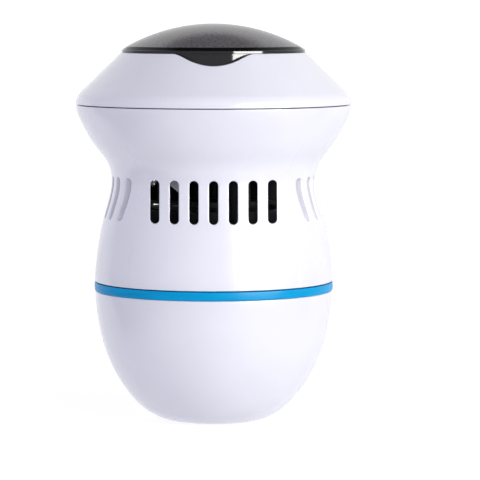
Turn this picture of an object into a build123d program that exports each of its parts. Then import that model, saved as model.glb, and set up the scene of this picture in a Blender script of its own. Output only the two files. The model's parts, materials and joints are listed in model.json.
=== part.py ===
from build123d import *
import os
from math import cos, radians, sin, sqrt, tan

# Electric callus remover: a hand-held vacuum grinder for feet. A motor on the
# axis turns an abrasive disc at the top and a fan at the waist. Air and dust go
# in round the disc, drop into the tray, pass the sponge and leave by the vents.
# Millimetres. The origin is the middle of the base, +Z is up, the front is -Y.

os.makedirs("parts", exist_ok=True)

# ---------------------------------------------------------------- casing sizes
HEIGHT = 175.0
WALL = 2.5
WEB = 1.6  # thickness of the webs that stiffen bosses
BASE_Z = 0.4  # underside of the bowl; the foot pad stands proud of it
BASE_RADIUS = 17.0
RING_RADIUS = 52.6
RING_BOTTOM = 57.9
RING_TOP = 61.6
SHELL_RADIUS = 52.4
BOWL_TOP = 57.8
BODY_BOTTOM = 62.05
WAIST_RADIUS = 44.8
WAIST_Z = 106.2
HEAD_RADIUS = 60.5
SEAM_Z = 139.7
SEAM_GAP = 0.4
BODY_TOP = SEAM_Z - SEAM_GAP / 2
COVER_BOTTOM = SEAM_Z + SEAM_GAP / 2

# ---------------------------------------------------------------- vents
SLOT_COUNT = 7
SLOT_PITCH = 8.4
SLOT_WIDTH = 3.9
SLOT_BOTTOM = 90.0
SLOT_TOP = 108.5

# ---------------------------------------------------------------- head and lid
COVER_WALL = 2.2
SHOULDER_RADIUS = 7.5  # round between the seam and the slope
SLOPE_ANGLE = 45.8  # from the vertical
MOUTH_RADIUS = 40.6
MOUTH_Z = 162.4
WELL_RADIUS = 38.9
WELL_BOTTOM = 153.2
NOTCH_Z = 157.3
NOTCH_HALF = 17.5
NOTCH_SHOULDER = (11.6, 160.2)  # half width and height part of the way down the notch
CORNER_Z = 155.0  # underside of the solid corner between the slope and the well
LID_RADIUS = 40.3
LID_WALL = 1.8
SKIRT_RADIUS = 38.4
SKIRT_BOTTOM = 155.5
RIM_TOP = 163.6
DOME_RADIUS = 38.0  # where the dome meets the rim's bevel
DOME_Z = 165.1

# ---------------------------------------------------------------- turning parts
SHAFT_RADIUS = 1.5
SHAFT_BOTTOM = 95.0
SHAFT_TOP = 160.0
BUSH_CLEARANCE = 0.03
PRESS_CLEARANCE = 0.01
PLATEN_RADIUS = 22.0
PLATEN_BOTTOM = 161.3
PLATEN_TOP = 164.3
DISC_RADIUS = 21.5
DISC_THICKNESS = 1.2
HUB_RADIUS = 5.0
HUB_BOTTOM = 152.8
IMPELLER_RADIUS = 31.0
IMPELLER_BOTTOM = 97.0
IMPELLER_TOP = 106.5
BLADE_COUNT = 9

# ---------------------------------------------------------------- motor
CAN_RADIUS = 13.85
CAN_WALL = 1.2
CAN_BOTTOM = 113.0
CAN_TOP = 148.0
BOSS_RADIUS = 5.0
BOSS_TOP = 150.3
END_CAP_BOTTOM = 109.8
MOTOR_SCREW_RADIUS = 8.0
MOUNT_RADIUS = 16.9
MOUNT_WALL = 1.8
MOUNT_TOP = 150.0

# ---------------------------------------------------------------- fan chamber
DECK_BOTTOM = 109.0
DECK_TOP = 111.0
DECK_RADIUS = 42.0
EYE_RADIUS = 21.0
FLOOR_BOTTOM = 86.0
FLOOR_TOP = 88.0
FLOOR_RADIUS = 45.5
DRUM_RADIUS = 30.0  # hollow drum on the floor that fills the space under the fan
DRUM_TOP = 94.4
DRUM_WALL = 1.5
COLUMN_RADIUS = 2.9
BOSS_CIRCLE = 36.8
SHELL_BOSS_RADIUS = 3.0
SHELL_BOSS_BOTTOM = 104.4
POST_RADIUS = 3.2
LEAD_GAP_Y = 38.5  # where the motor leads drop through the deck and the floor

# ---------------------------------------------------------------- dust parts
TRAY_FLOOR_BOTTOM = 121.0
TRAY_FLOOR_TOP = 123.0
TRAY_TOP = 139.2
TRAY_WALL = 1.6
TRAY_POST_CIRCLE = 38.6
COLLAR_RADIUS = 17.3
COLLAR_TOP = 140.0
SPONGE_INNER = 20.5
SPONGE_OUTER = 33.0
SPONGE_TOP = 136.0
RING_TOP_Z = 161.5  # top of the suction ring
RING_INNER = 23.5
RING_OUTER = 35.8

# ---------------------------------------------------------------- power parts
CELL_RADIUS = 9.2
CELL_BOTTOM = 8.6
CELL_LENGTH = 65.0
HOLDER_WALL = 1.5
HOLDER_BOTTOM = 6.3
PLATE_BOTTOM = 64.0
PLATE_TOP = 66.0
PLATE_RADIUS = 47.0
PLATE_BOSS_CIRCLE = 43.6
PLATE_BOSS_HEIGHT = 9.0
PLATE_PILOT_DEPTH = 8.0
BOARD_Y = 42.6
BOARD_THICKNESS = 1.6
BOARD_WIDTH = 27.0
BOARD_BOTTOM = 66.1
BOARD_TOP = 85.6
BUTTON_Z = 77.5
BUTTON_RADIUS = 6.5
BUTTON_TRAVEL = 1.2
LENS_Z = 68.2
LENS_RADIUS = 1.4
SOCKET_Z = 47.0
SOCKET_WIDTH = 8.9
SOCKET_HEIGHT = 3.2
SOCKET_Y = 42.6  # its inner end
SOCKET_LENGTH = 7.6
PORT_GAP = 0.4  # all round the socket
REAR_CUT_Y = 40.0  # holes in the rear wall are cut from here outwards
REAR_CUT_DEPTH = 15.0

# ---------------------------------------------------------------- screws
SCREW_RADIUS = 1.25
SCREW_HEAD_RADIUS = 2.5
SCREW_HEAD_HEIGHT = 1.5
PILOT_RADIUS = 1.3
CLEAR_HOLE_RADIUS = 1.6
HEAD_GAP = 0.3  # round a screw's head in its counterbore
LEAD_RADIUS = 0.7

SHELL_BOSS_ANGLES = (-135, -15, 105)
COLUMN_ANGLES = (-75, 45, 165)
HOLDER_ANGLES = (-90, 30, 150)
BASE_SCREW_CIRCLE = 11.5


def save(piece, name):
    """Label a finished sub-part and write it to its own file."""
    piece.part.label = name
    export_step(piece.part, f"parts/{name}.step")


def on_circle(radius, angles, z=0.0):
    """Points at the given angles on a circle about the axis."""
    return [(radius * cos(radians(a)), radius * sin(radians(a)), z) for a in angles]


def rims(piece, radius):
    """The circular edges of one radius on a sub-part."""
    circles = piece.edges().filter_by(GeomType.CIRCLE)
    return circles.filter_by(lambda edge: abs(edge.radius - radius) < 0.01)


def inset_points(curve, wall, steps=14):
    """Points one wall's thickness to the left of a profile curve."""
    points = []
    for k in range(steps + 1):
        at = curve @ (k / steps)
        along = curve % (k / steps)
        points.append((at.X - wall * along.Y, at.Y + wall * along.X))
    return points


def ring(inner, outer, bottom, top, mode=Mode.ADD):
    """A plain ring or disc about the axis, between two heights."""
    with BuildSketch(Plane.XY.offset(bottom)) as outline:
        Circle(outer)
        if inner > 0:
            Circle(inner, mode=Mode.SUBTRACT)
    extrude(outline.sketch, amount=top - bottom, mode=mode)


def posts(radius, points, bottom, top, mode=Mode.ADD):
    """Round posts or holes, all between the same two heights."""
    with BuildSketch(Plane.XY.offset(bottom)) as outline:
        with Locations(*[(p[0], p[1]) for p in points]):
            Circle(radius)
    extrude(outline.sketch, amount=top - bottom, mode=mode)


def pan_head_screw(length):
    """One screw along +Z, its head below z = 0 with a cross recess."""
    point_length = 1.2
    recess_width = 0.6
    with BuildPart() as screw:
        with BuildSketch(Plane.XZ):
            with BuildLine():
                Polyline(
                    (0, length), (SCREW_RADIUS * 0.4, length), (SCREW_RADIUS, length - point_length),
                    (SCREW_RADIUS, 0), (SCREW_HEAD_RADIUS, 0),
                    (SCREW_HEAD_RADIUS, -SCREW_HEAD_HEIGHT * 0.6),
                    (SCREW_HEAD_RADIUS * 0.75, -SCREW_HEAD_HEIGHT), (0, -SCREW_HEAD_HEIGHT),
                    close=True,
                )
            make_face()
        revolve(axis=Axis.Z)
        with BuildSketch(Plane.XY.offset(-SCREW_HEAD_HEIGHT)):
            Rectangle(SCREW_HEAD_RADIUS * 1.2, recess_width)
            Rectangle(recess_width, SCREW_HEAD_RADIUS * 1.2)
        extrude(amount=SCREW_HEAD_HEIGHT * 0.55, mode=Mode.SUBTRACT)
    return screw.part


def screws(name, points, seat, length, pointing_up=False):
    """A group of like screws whose heads bear on the plane z = seat."""
    screw = pan_head_screw(length)
    tilt = 0 if pointing_up else 180
    with BuildPart() as group:
        with Locations(*[Location((p[0], p[1], seat), (tilt, 0, 0)) for p in points]):
            add(screw)
    save(group, name)


def lead_pair(name, route, spacing, bend):
    """Two parallel insulated wires, straight runs joined by round bends."""
    with BuildPart() as pair:
        for side in (-spacing / 2, spacing / 2):
            with BuildLine() as path:
                FilletPolyline(*[(x + side, y, z) for x, y, z in route], radius=bend)
            with BuildSketch(Plane(origin=path.line @ 0, z_dir=path.line % 0)):
                Circle(LEAD_RADIUS)
            sweep(path=path.line)
    save(pair, name)


# ================================================================ lower shell
# A bowl with a flat base. The pad's recess hides three screws that pull the
# bowl up against the battery holder.
PAD_RADIUS = 15.0
PAD_THICKNESS = 1.4
PAD_GAP = 0.2
BOWL_FLOOR_TOP = BASE_Z + 3.0
BASE_BOSS_RADIUS = 3.4
BASE_BOSS_TOP = 6.2
BASE_SCREW_SEAT = 4.2
SHELF_BOTTOM = SOCKET_Z - 5.2
SHELF_THICKNESS = 2.0
SHELF_TOP = SHELF_BOTTOM + SHELF_THICKNESS
SHELF_MIDDLE_Y = 43.5
SHELF_WIDTH = 15.0
SHELF_DEPTH = 13.0
base_points = on_circle(BASE_SCREW_CIRCLE, HOLDER_ANGLES)

with BuildPart() as lower_shell:
    with BuildSketch(Plane.XZ):
        with BuildLine():
            bowl_outline = Spline(
                (BASE_RADIUS, BASE_Z), (30.0, 5.0), (39.2, 14.7), (45.3, 25.2), (49.7, 38.0),
                (51.7, 50.0), (SHELL_RADIUS - 0.2, BOWL_TOP),
                tangents=((1, 0), (0, 1)),
            )
            bowl_inside = Spline(*inset_points(bowl_outline, WALL), tangents=((1, 0), (0, 1)))
            Line(bowl_outline @ 1, bowl_inside @ 1)
            Polyline(bowl_outline @ 0, (0, BASE_Z), (0, BASE_Z + WALL), bowl_inside @ 0)
        make_face()
    revolve(axis=Axis.Z)
    ring(0, BASE_RADIUS, BOWL_FLOOR_TOP - 1.0, BOWL_FLOOR_TOP)
    posts(BASE_BOSS_RADIUS, base_points, BASE_Z, BASE_BOSS_TOP)
    ring(0, PAD_RADIUS + PAD_GAP, BASE_Z, PAD_THICKNESS, mode=Mode.SUBTRACT)
    posts(SCREW_HEAD_RADIUS + HEAD_GAP, base_points, BASE_Z, BASE_SCREW_SEAT, mode=Mode.SUBTRACT)
    posts(CLEAR_HOLE_RADIUS, base_points, BASE_Z, BASE_BOSS_TOP, mode=Mode.SUBTRACT)
    # shelf for the charging board, then the port through the rear wall
    with BuildSketch(Plane.XY.offset(SHELF_BOTTOM)):
        with Locations((0, SHELF_MIDDLE_Y)):
            Rectangle(SHELF_WIDTH, SHELF_DEPTH)
    extrude(amount=SHELF_THICKNESS)
    with BuildSketch(Plane.XZ.offset(-REAR_CUT_Y)):
        with Locations((0, SOCKET_Z)):
            SlotOverall(SOCKET_WIDTH + 2 * PORT_GAP, SOCKET_HEIGHT + 2 * PORT_GAP)
    extrude(amount=-REAR_CUT_DEPTH, mode=Mode.SUBTRACT)
save(lower_shell, "lower_shell")

with BuildPart() as foot_pad:
    ring(0, PAD_RADIUS, 0, PAD_THICKNESS)
    fillet(foot_pad.edges().group_by(Axis.Z)[0], 0.3)
save(foot_pad, "foot_pad")

BASE_SCREW_LENGTH = 8.0
screws("base_screws", base_points, BASE_SCREW_SEAT, BASE_SCREW_LENGTH, pointing_up=True)

# ================================================================ accent ring
# The blue band, with a tongue that the two shells clamp between them.
TONGUE_OUTER = 49.45
TONGUE_WALL = 1.2
TONGUE_RISE = 3.0  # above and below the band
with BuildPart() as accent_ring:
    ring(TONGUE_OUTER - 0.2, RING_RADIUS, RING_BOTTOM, RING_TOP)
    fillet(rims(accent_ring, RING_RADIUS), 0.4)
    ring(TONGUE_OUTER - TONGUE_WALL, TONGUE_OUTER, RING_BOTTOM - TONGUE_RISE, RING_TOP + TONGUE_RISE)
save(accent_ring, "accent_ring")

# ================================================================ body shell
# The waisted shell. Its vents are cut straight through, front to back and side
# to side, as the four slides of its mould leave them.
BUTTON_Y = 51.2  # where the wall's outside passes the button
BUTTON_RECESS_DEPTH = 0.6
BUTTON_RECESS_MARGIN = 1.6
BUTTON_GAP = 0.25
LENS_GAP = 0.05
deck_points = on_circle(BOSS_CIRCLE, SHELL_BOSS_ANGLES)
plate_points = on_circle(PLATE_BOSS_CIRCLE, HOLDER_ANGLES)

with BuildPart() as body_shell:
    with BuildSketch(Plane.XZ):
        with BuildLine():
            body_outline = Spline(
                (SHELL_RADIUS, BODY_BOTTOM), (51.1, 76.2), (48.4, 90.0), (45.5, 100.8),
                (WAIST_RADIUS, WAIST_Z), (46.6, 114.2), (51.6, 121.0), (57.0, 129.8), (60.0, 136.6),
                (HEAD_RADIUS, BODY_TOP),
                tangents=((0, 1), (0, 1)),
            )
            body_inside = Spline(*inset_points(body_outline, WALL), tangents=((0, 1), (0, 1)))
            Line(body_outline @ 0, body_inside @ 0)
            Line(body_outline @ 1, body_inside @ 1)
        make_face()
    revolve(axis=Axis.Z)
    slot_length = SLOT_TOP - SLOT_BOTTOM
    slot_middle = (SLOT_TOP + SLOT_BOTTOM) / 2
    for plane in (Plane.XZ, Plane.YZ):
        with BuildSketch(plane):
            with Locations((0, slot_middle)):
                with GridLocations(SLOT_PITCH, 0, SLOT_COUNT, 1):
                    SlotOverall(slot_length, SLOT_WIDTH, rotation=90)
        extrude(amount=HEAD_RADIUS, both=True, mode=Mode.SUBTRACT)
    # deck bosses, each with a web to the wall
    for angle in SHELL_BOSS_ANGLES:
        web_plane = Plane.XY.offset(SHELL_BOSS_BOTTOM).rotated((0, 0, angle))
        with BuildSketch(web_plane):
            with Locations((BOSS_CIRCLE, 0)):
                Circle(SHELL_BOSS_RADIUS)
                Rectangle(6.4, WEB, align=(Align.MIN, Align.CENTER))
        extrude(amount=DECK_BOTTOM - SHELL_BOSS_BOTTOM)
    posts(PILOT_RADIUS, deck_points, SHELL_BOSS_BOTTOM, DECK_BOTTOM, mode=Mode.SUBTRACT)
    # bosses that hold the battery plate from above
    for angle in HOLDER_ANGLES:
        web_plane = Plane.XY.offset(PLATE_TOP).rotated((0, 0, angle))
        with BuildSketch(web_plane):
            with Locations((PLATE_BOSS_CIRCLE, 0)):
                Circle(SHELL_BOSS_RADIUS)
                Rectangle(6.1, WEB, align=(Align.MIN, Align.CENTER))
        extrude(amount=PLATE_BOSS_HEIGHT)
    posts(PILOT_RADIUS, plate_points, PLATE_TOP, PLATE_TOP + PLATE_PILOT_DEPTH, mode=Mode.SUBTRACT)
    # round well for the power button, and the indicator's hole below it
    with BuildSketch(Plane.XZ.offset(-(BUTTON_Y - BUTTON_RECESS_DEPTH))):
        with Locations((0, BUTTON_Z)):
            Circle(BUTTON_RADIUS + BUTTON_RECESS_MARGIN)
    extrude(amount=-REAR_CUT_DEPTH, mode=Mode.SUBTRACT)
    with BuildSketch(Plane.XZ.offset(-REAR_CUT_Y)):
        with Locations((0, BUTTON_Z)):
            Circle(BUTTON_RADIUS + BUTTON_GAP)
        with Locations((0, LENS_Z)):
            Circle(LENS_RADIUS + LENS_GAP)
    extrude(amount=-REAR_CUT_DEPTH, mode=Mode.SUBTRACT)
save(body_shell, "body_shell")

# ================================================================ head cover
# The flared cover that lifts off to empty the tray. Its skirt locates inside
# the tray's rim, and its well takes the lid.
slope_rise = 1 / tan(radians(SLOPE_ANGLE))
cover_drop = COVER_WALL * sqrt(1 + slope_rise**2)
well_outer = WELL_RADIUS + 2.0
well_meets_slope = MOUTH_Z - (well_outer - MOUTH_RADIUS) * slope_rise - cover_drop
corner_radius = well_outer + (well_meets_slope - CORNER_Z) / slope_rise
FLANGE_BOTTOM = 140.3
FLANGE_TOP = 142.0
COVER_SKIRT_OUTER = 54.4
COVER_SKIRT_INNER = 52.8
COVER_SKIRT_BOTTOM = 136.8
RING_LUG_CIRCLE = 43.4
RING_BOSS_TOP = 156.0
ring_lug_points = on_circle(RING_LUG_CIRCLE, COLUMN_ANGLES)

with BuildPart() as head_cover:
    with BuildSketch(Plane.XZ):
        with BuildLine():
            shoulder = JernArc((HEAD_RADIUS, COVER_BOTTOM), (0, 1), SHOULDER_RADIUS, SLOPE_ANGLE)
            inner_shoulder = JernArc(
                (HEAD_RADIUS - COVER_WALL, COVER_BOTTOM), (0, 1), SHOULDER_RADIUS - COVER_WALL, SLOPE_ANGLE
            )
            Polyline(
                shoulder @ 1, (MOUTH_RADIUS, MOUTH_Z), (WELL_RADIUS, MOUTH_Z), (WELL_RADIUS, WELL_BOTTOM),
                (well_outer, WELL_BOTTOM), (well_outer, CORNER_Z), (corner_radius, CORNER_Z),
                inner_shoulder @ 1,
            )
            Line(inner_shoulder @ 0, shoulder @ 0)
        make_face()
    revolve(axis=Axis.Z)
    fillet(rims(head_cover, MOUTH_RADIUS), 0.5)
    ring(COVER_SKIRT_INNER, HEAD_RADIUS - COVER_WALL + 0.1, FLANGE_BOTTOM, FLANGE_TOP)
    ring(COVER_SKIRT_INNER, COVER_SKIRT_OUTER, COVER_SKIRT_BOTTOM, FLANGE_TOP)
    # bosses that hold the suction ring
    posts(2.8, ring_lug_points, WELL_BOTTOM, RING_BOSS_TOP)
    posts(PILOT_RADIUS, ring_lug_points, WELL_BOTTOM, RING_BOSS_TOP - 0.4, mode=Mode.SUBTRACT)
    # crescent finger notch in the front of the mouth
    shoulder_x, shoulder_z = NOTCH_SHOULDER
    with BuildSketch(Plane.XZ):
        with BuildLine():
            crescent = Spline(
                (-NOTCH_HALF, MOUTH_Z), (-shoulder_x, shoulder_z), (0, NOTCH_Z), (shoulder_x, shoulder_z),
                (NOTCH_HALF, MOUTH_Z),
                tangents=((1, 0), (1, 0)),
            )
            Polyline(crescent @ 1, (NOTCH_HALF, MOUTH_Z + 3), (-NOTCH_HALF, MOUTH_Z + 3), crescent @ 0)
        make_face()
    extrude(amount=HEAD_RADIUS, mode=Mode.SUBTRACT)
save(head_cover, "head_cover")

# Soft ring that closes the gap between the cover's flange and the tray's rim.
SEAL_INNER = 55.7
SEAL_OUTER = 57.6
with BuildPart() as head_seal:
    ring(SEAL_INNER, SEAL_OUTER, TRAY_TOP + 0.1, FLANGE_BOTTOM)
    fillet(head_seal.edges().group_by(Axis.Z)[0], 0.4)
save(head_seal, "head_seal")

# ================================================================ suction ring
# Dark slotted ring round the disc; the lid's skirt drops into the groove
# between it and the cover's well.
SUCTION_SLOTS = 24
SUCTION_SLOT_CIRCLE = 29.6
RING_FLANGE_BOTTOM = WELL_BOTTOM - 2.0
RING_OUTER_WALL = 1.6
RING_INNER_WALL = 1.4
RING_TOP_WALL = 1.8
RING_COLLAR_BOTTOM = 157.5
with BuildPart() as suction_ring:
    with BuildSketch(Plane.XZ):
        with BuildLine():
            Polyline(
                (RING_INNER, RING_COLLAR_BOTTOM), (RING_INNER, RING_TOP_Z), (RING_OUTER, RING_TOP_Z),
                (RING_OUTER, WELL_BOTTOM), (well_outer, WELL_BOTTOM), (well_outer, RING_FLANGE_BOTTOM),
                (RING_OUTER - RING_OUTER_WALL, RING_FLANGE_BOTTOM),
                (RING_OUTER - RING_OUTER_WALL, RING_TOP_Z - RING_TOP_WALL),
                (RING_INNER + RING_INNER_WALL, RING_TOP_Z - RING_TOP_WALL),
                (RING_INNER + RING_INNER_WALL, RING_COLLAR_BOTTOM),
                close=True,
            )
        make_face()
    revolve(axis=Axis.Z)
    top_edges = suction_ring.edges().group_by(Axis.Z)[-1]
    fillet(top_edges, 0.7)
    posts(POST_RADIUS, ring_lug_points, RING_FLANGE_BOTTOM, WELL_BOTTOM)
    posts(CLEAR_HOLE_RADIUS, ring_lug_points, RING_FLANGE_BOTTOM, WELL_BOTTOM, mode=Mode.SUBTRACT)
    with BuildSketch(Plane.XY.offset(RING_TOP_Z - 3.0)):
        with PolarLocations(SUCTION_SLOT_CIRCLE, SUCTION_SLOTS):
            SlotOverall(7.0, 3.0)
    extrude(amount=4.0, mode=Mode.SUBTRACT)
save(suction_ring, "suction_ring")

RING_SCREW_LENGTH = 4.2
screws("suction_ring_screws", ring_lug_points, RING_FLANGE_BOTTOM, RING_SCREW_LENGTH, pointing_up=True)

# ================================================================ lid
dome_rise = HEIGHT - DOME_Z
lid_sphere = (DOME_RADIUS**2 + dome_rise**2) / (2 * dome_rise)
inner_dome_edge = SKIRT_RADIUS - LID_WALL
inner_dome_z = HEIGHT - LID_WALL - (lid_sphere - sqrt(lid_sphere**2 - inner_dome_edge**2))
half_way = DOME_RADIUS / 2
half_way_z = HEIGHT - lid_sphere + sqrt(lid_sphere**2 - half_way**2)
with BuildPart() as lid:
    with BuildSketch(Plane.XZ):
        with BuildLine():
            ThreePointArc((0, HEIGHT), (half_way, half_way_z), (DOME_RADIUS, DOME_Z))
            Polyline(
                (DOME_RADIUS, DOME_Z), (LID_RADIUS, RIM_TOP), (LID_RADIUS, MOUTH_Z),
                (SKIRT_RADIUS, MOUTH_Z), (SKIRT_RADIUS, SKIRT_BOTTOM), (inner_dome_edge, SKIRT_BOTTOM),
                (inner_dome_edge, inner_dome_z),
            )
            ThreePointArc(
                (inner_dome_edge, inner_dome_z), (half_way, half_way_z - LID_WALL), (0, HEIGHT - LID_WALL)
            )
            Line((0, HEIGHT - LID_WALL), (0, HEIGHT))
        make_face()
    revolve(axis=Axis.Z)
    fillet(rims(lid, LID_RADIUS), 0.3)
save(lid, "lid")

# ================================================================ turning parts
with BuildPart() as motor_shaft:
    ring(0, SHAFT_RADIUS, SHAFT_BOTTOM, SHAFT_TOP)
    chamfer(motor_shaft.edges().filter_by(GeomType.CIRCLE), 0.3)
save(motor_shaft, "motor_shaft")

RIB_HEIGHT_AT_HUB = 4.3
RIB_END = PLATEN_RADIUS - 3.5
with BuildPart() as disc_holder:
    ring(0, PLATEN_RADIUS, PLATEN_BOTTOM, PLATEN_TOP)
    fillet(disc_holder.edges(), 0.5)
    ring(0, HUB_RADIUS, HUB_BOTTOM, PLATEN_BOTTOM + 0.1)
    # stiffening ribs under the platen
    for angle in range(0, 360, 60):
        with BuildSketch(Plane.XZ.rotated((0, 0, angle))):
            with BuildLine():
                Polyline(
                    (HUB_RADIUS - 0.5, PLATEN_BOTTOM - RIB_HEIGHT_AT_HUB), (RIB_END, PLATEN_BOTTOM),
                    (RIB_END, PLATEN_BOTTOM + 0.3), (HUB_RADIUS - 0.5, PLATEN_BOTTOM + 0.3),
                    close=True,
                )
            make_face()
        extrude(amount=0.6, both=True)
    ring(0, SHAFT_RADIUS + PRESS_CLEARANCE, HUB_BOTTOM, SHAFT_TOP, mode=Mode.SUBTRACT)
save(disc_holder, "disc_holder")

with BuildPart() as abrasive_disc:
    ring(0, DISC_RADIUS, PLATEN_TOP, PLATEN_TOP + DISC_THICKNESS)
    fillet(abrasive_disc.edges().group_by(Axis.Z)[-1], 0.35)
save(abrasive_disc, "abrasive_disc")

# Radial fan with swept blades; the eye faces up, to the motor.
FAN_PLATE = 1.4
BLADE_THICKNESS = 1.3
blade_line = ((8.5, 0, 0), (21.0, 3.0, 0), (30.4, 12.0, 0))
with BuildPart() as impeller:
    ring(0, IMPELLER_RADIUS, IMPELLER_BOTTOM, IMPELLER_BOTTOM + FAN_PLATE)
    ring(0, HUB_RADIUS, IMPELLER_BOTTOM, IMPELLER_TOP - 0.4)
    with BuildSketch(Plane.XY.offset(IMPELLER_BOTTOM)):
        for k in range(BLADE_COUNT):
            turn = Plane.XY.rotated((0, 0, k * 360 / BLADE_COUNT))
            ends = [turn.from_local_coords(Vector(*p)) for p in blade_line]
            with BuildLine() as vane:
                ThreePointArc(*[(p.X, p.Y) for p in ends])
            trace(vane.line, line_width=BLADE_THICKNESS)
    extrude(amount=IMPELLER_TOP - IMPELLER_BOTTOM)
    ring(IMPELLER_RADIUS, IMPELLER_RADIUS + 3.0, IMPELLER_BOTTOM, IMPELLER_TOP, mode=Mode.SUBTRACT)
    ring(0, SHAFT_RADIUS + PRESS_CLEARANCE, IMPELLER_BOTTOM, IMPELLER_TOP, mode=Mode.SUBTRACT)
save(impeller, "impeller")

# Wound core with five slots, and the commutator below it.
CORE_RADIUS = 9.0
CORE_BOTTOM = 119.0
CORE_LENGTH = 22.0
COMMUTATOR_RADIUS = 3.6
COMMUTATOR_BOTTOM = 114.0
with BuildPart() as motor_armature:
    ring(SHAFT_RADIUS + PRESS_CLEARANCE, CORE_RADIUS, CORE_BOTTOM, CORE_BOTTOM + CORE_LENGTH)
    with BuildSketch(Plane.XY.offset(CORE_BOTTOM)):
        with PolarLocations(7.6, 5):
            Rectangle(4.2, 1.6)
    extrude(amount=CORE_LENGTH, mode=Mode.SUBTRACT)
    ring(SHAFT_RADIUS + PRESS_CLEARANCE, COMMUTATOR_RADIUS, COMMUTATOR_BOTTOM, CORE_BOTTOM)
save(motor_armature, "motor_armature")

# ================================================================ motor
BUSH_OUTER = 3.0
CAP_BOSS_BOTTOM = 108.0
motor_screw_points = on_circle(MOTOR_SCREW_RADIUS, (0, 180))
with BuildPart() as motor_can:
    ring(0, CAN_RADIUS, CAN_BOTTOM, CAN_TOP)
    fillet(motor_can.edges().group_by(Axis.Z)[-1], 1.5)
    ring(0, CAN_RADIUS - CAN_WALL, CAN_BOTTOM, CAN_TOP - CAN_WALL, mode=Mode.SUBTRACT)
    ring(0, BOSS_RADIUS, CAN_TOP - CAN_WALL - 1.0, BOSS_TOP)
    ring(0, BUSH_OUTER, CAN_TOP - CAN_WALL - 1.0, BOSS_TOP, mode=Mode.SUBTRACT)
    posts(SCREW_RADIUS + 0.05, motor_screw_points, CAN_TOP - 2.0, CAN_TOP, mode=Mode.SUBTRACT)
    # cooling windows low on the can
    for plane in (Plane.XZ, Plane.YZ):
        with BuildSketch(plane):
            with Locations((0, CAN_BOTTOM + 4.0)):
                SlotOverall(9.0, 3.0)
        extrude(amount=CAN_RADIUS + 1, both=True, mode=Mode.SUBTRACT)
save(motor_can, "motor_can")

with BuildPart() as motor_end_cap:
    ring(BUSH_OUTER, CAN_RADIUS - 0.4, END_CAP_BOTTOM, CAN_BOTTOM)
    ring(BUSH_OUTER, 4.6, CAP_BOSS_BOTTOM, END_CAP_BOTTOM)
    with BuildSketch(Plane.XY.offset(END_CAP_BOTTOM)):
        with Locations((-4.0, 12.0), (4.0, 12.0)):
            Rectangle(2.6, 6.0)
    extrude(amount=1.2, mode=Mode.SUBTRACT)
save(motor_end_cap, "motor_end_cap")

with BuildPart() as motor_terminals:
    with BuildSketch(Plane.XY.offset(END_CAP_BOTTOM + 0.3)):
        with Locations((-4.0, 13.1), (4.0, 13.1)):
            Rectangle(2.2, 7.6)
    extrude(amount=0.6)
save(motor_terminals, "motor_terminals")

with BuildPart() as shaft_bushes:
    ring(SHAFT_RADIUS + BUSH_CLEARANCE, BUSH_OUTER - PRESS_CLEARANCE, BOSS_TOP - 4.3, BOSS_TOP)
    ring(SHAFT_RADIUS + BUSH_CLEARANCE, BUSH_OUTER - PRESS_CLEARANCE, CAP_BOSS_BOTTOM, CAP_BOSS_BOTTOM + 4.0)
save(shaft_bushes, "shaft_bushes")

# Two arc magnets, with a gap between them at the front and the rear.
MAGNET_INNER = 9.5
MAGNET_BOTTOM = 120.0
MAGNET_LENGTH = 22.0
MAGNET_SPACING = 9.0
with BuildPart() as motor_magnets:
    ring(MAGNET_INNER, CAN_RADIUS - CAN_WALL - 0.05, MAGNET_BOTTOM, MAGNET_BOTTOM + MAGNET_LENGTH)
    with BuildSketch(Plane.XY.offset(MAGNET_BOTTOM)):
        Rectangle(MAGNET_SPACING, 2 * CAN_RADIUS)
    extrude(amount=MAGNET_LENGTH, mode=Mode.SUBTRACT)
save(motor_magnets, "motor_magnets")

# Cup that carries the motor on three arms above the fan's eye.
ARM_CIRCLE = 28.0
ARM_THICKNESS = 2.5
ARM_TOP = DECK_TOP + ARM_THICKNESS
arm_points = on_circle(ARM_CIRCLE, COLUMN_ANGLES)
with BuildPart() as motor_mount:
    ring(MOUNT_RADIUS - MOUNT_WALL, MOUNT_RADIUS, DECK_TOP + 1.0, CAN_TOP + 0.1)
    ring(BOSS_RADIUS + 0.2, MOUNT_RADIUS, CAN_TOP, MOUNT_TOP)
    fillet(motor_mount.edges().group_by(Axis.Z)[-1].sort_by(SortBy.LENGTH)[-1], 1.0)
    for angle in COLUMN_ANGLES:
        with BuildSketch(Plane.XY.offset(DECK_TOP).rotated((0, 0, angle))):
            with Locations((ARM_CIRCLE, 0)):
                Circle(4.0)
                Rectangle(12.0, 6.0, align=(Align.MAX, Align.CENTER))
        extrude(amount=ARM_THICKNESS)
    ring(0, MOUNT_RADIUS - MOUNT_WALL, DECK_TOP - 0.5, CAN_TOP, mode=Mode.SUBTRACT)
    posts(CLEAR_HOLE_RADIUS, arm_points, DECK_TOP, ARM_TOP, mode=Mode.SUBTRACT)
    posts(CLEAR_HOLE_RADIUS, motor_screw_points, CAN_TOP, MOUNT_TOP, mode=Mode.SUBTRACT)
save(motor_mount, "motor_mount")

MOTOR_SCREW_LENGTH = 3.6
MOUNT_SCREW_LENGTH = 5.0
screws("motor_screws", motor_screw_points, MOUNT_TOP, MOTOR_SCREW_LENGTH)
screws("mount_screws", arm_points, ARM_TOP, MOUNT_SCREW_LENGTH)

with BuildPart() as shaft_seal:
    ring(SHAFT_RADIUS + 0.1, 4.4, BOSS_TOP, HUB_BOTTOM - 0.5)
save(shaft_seal, "shaft_seal")

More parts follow.
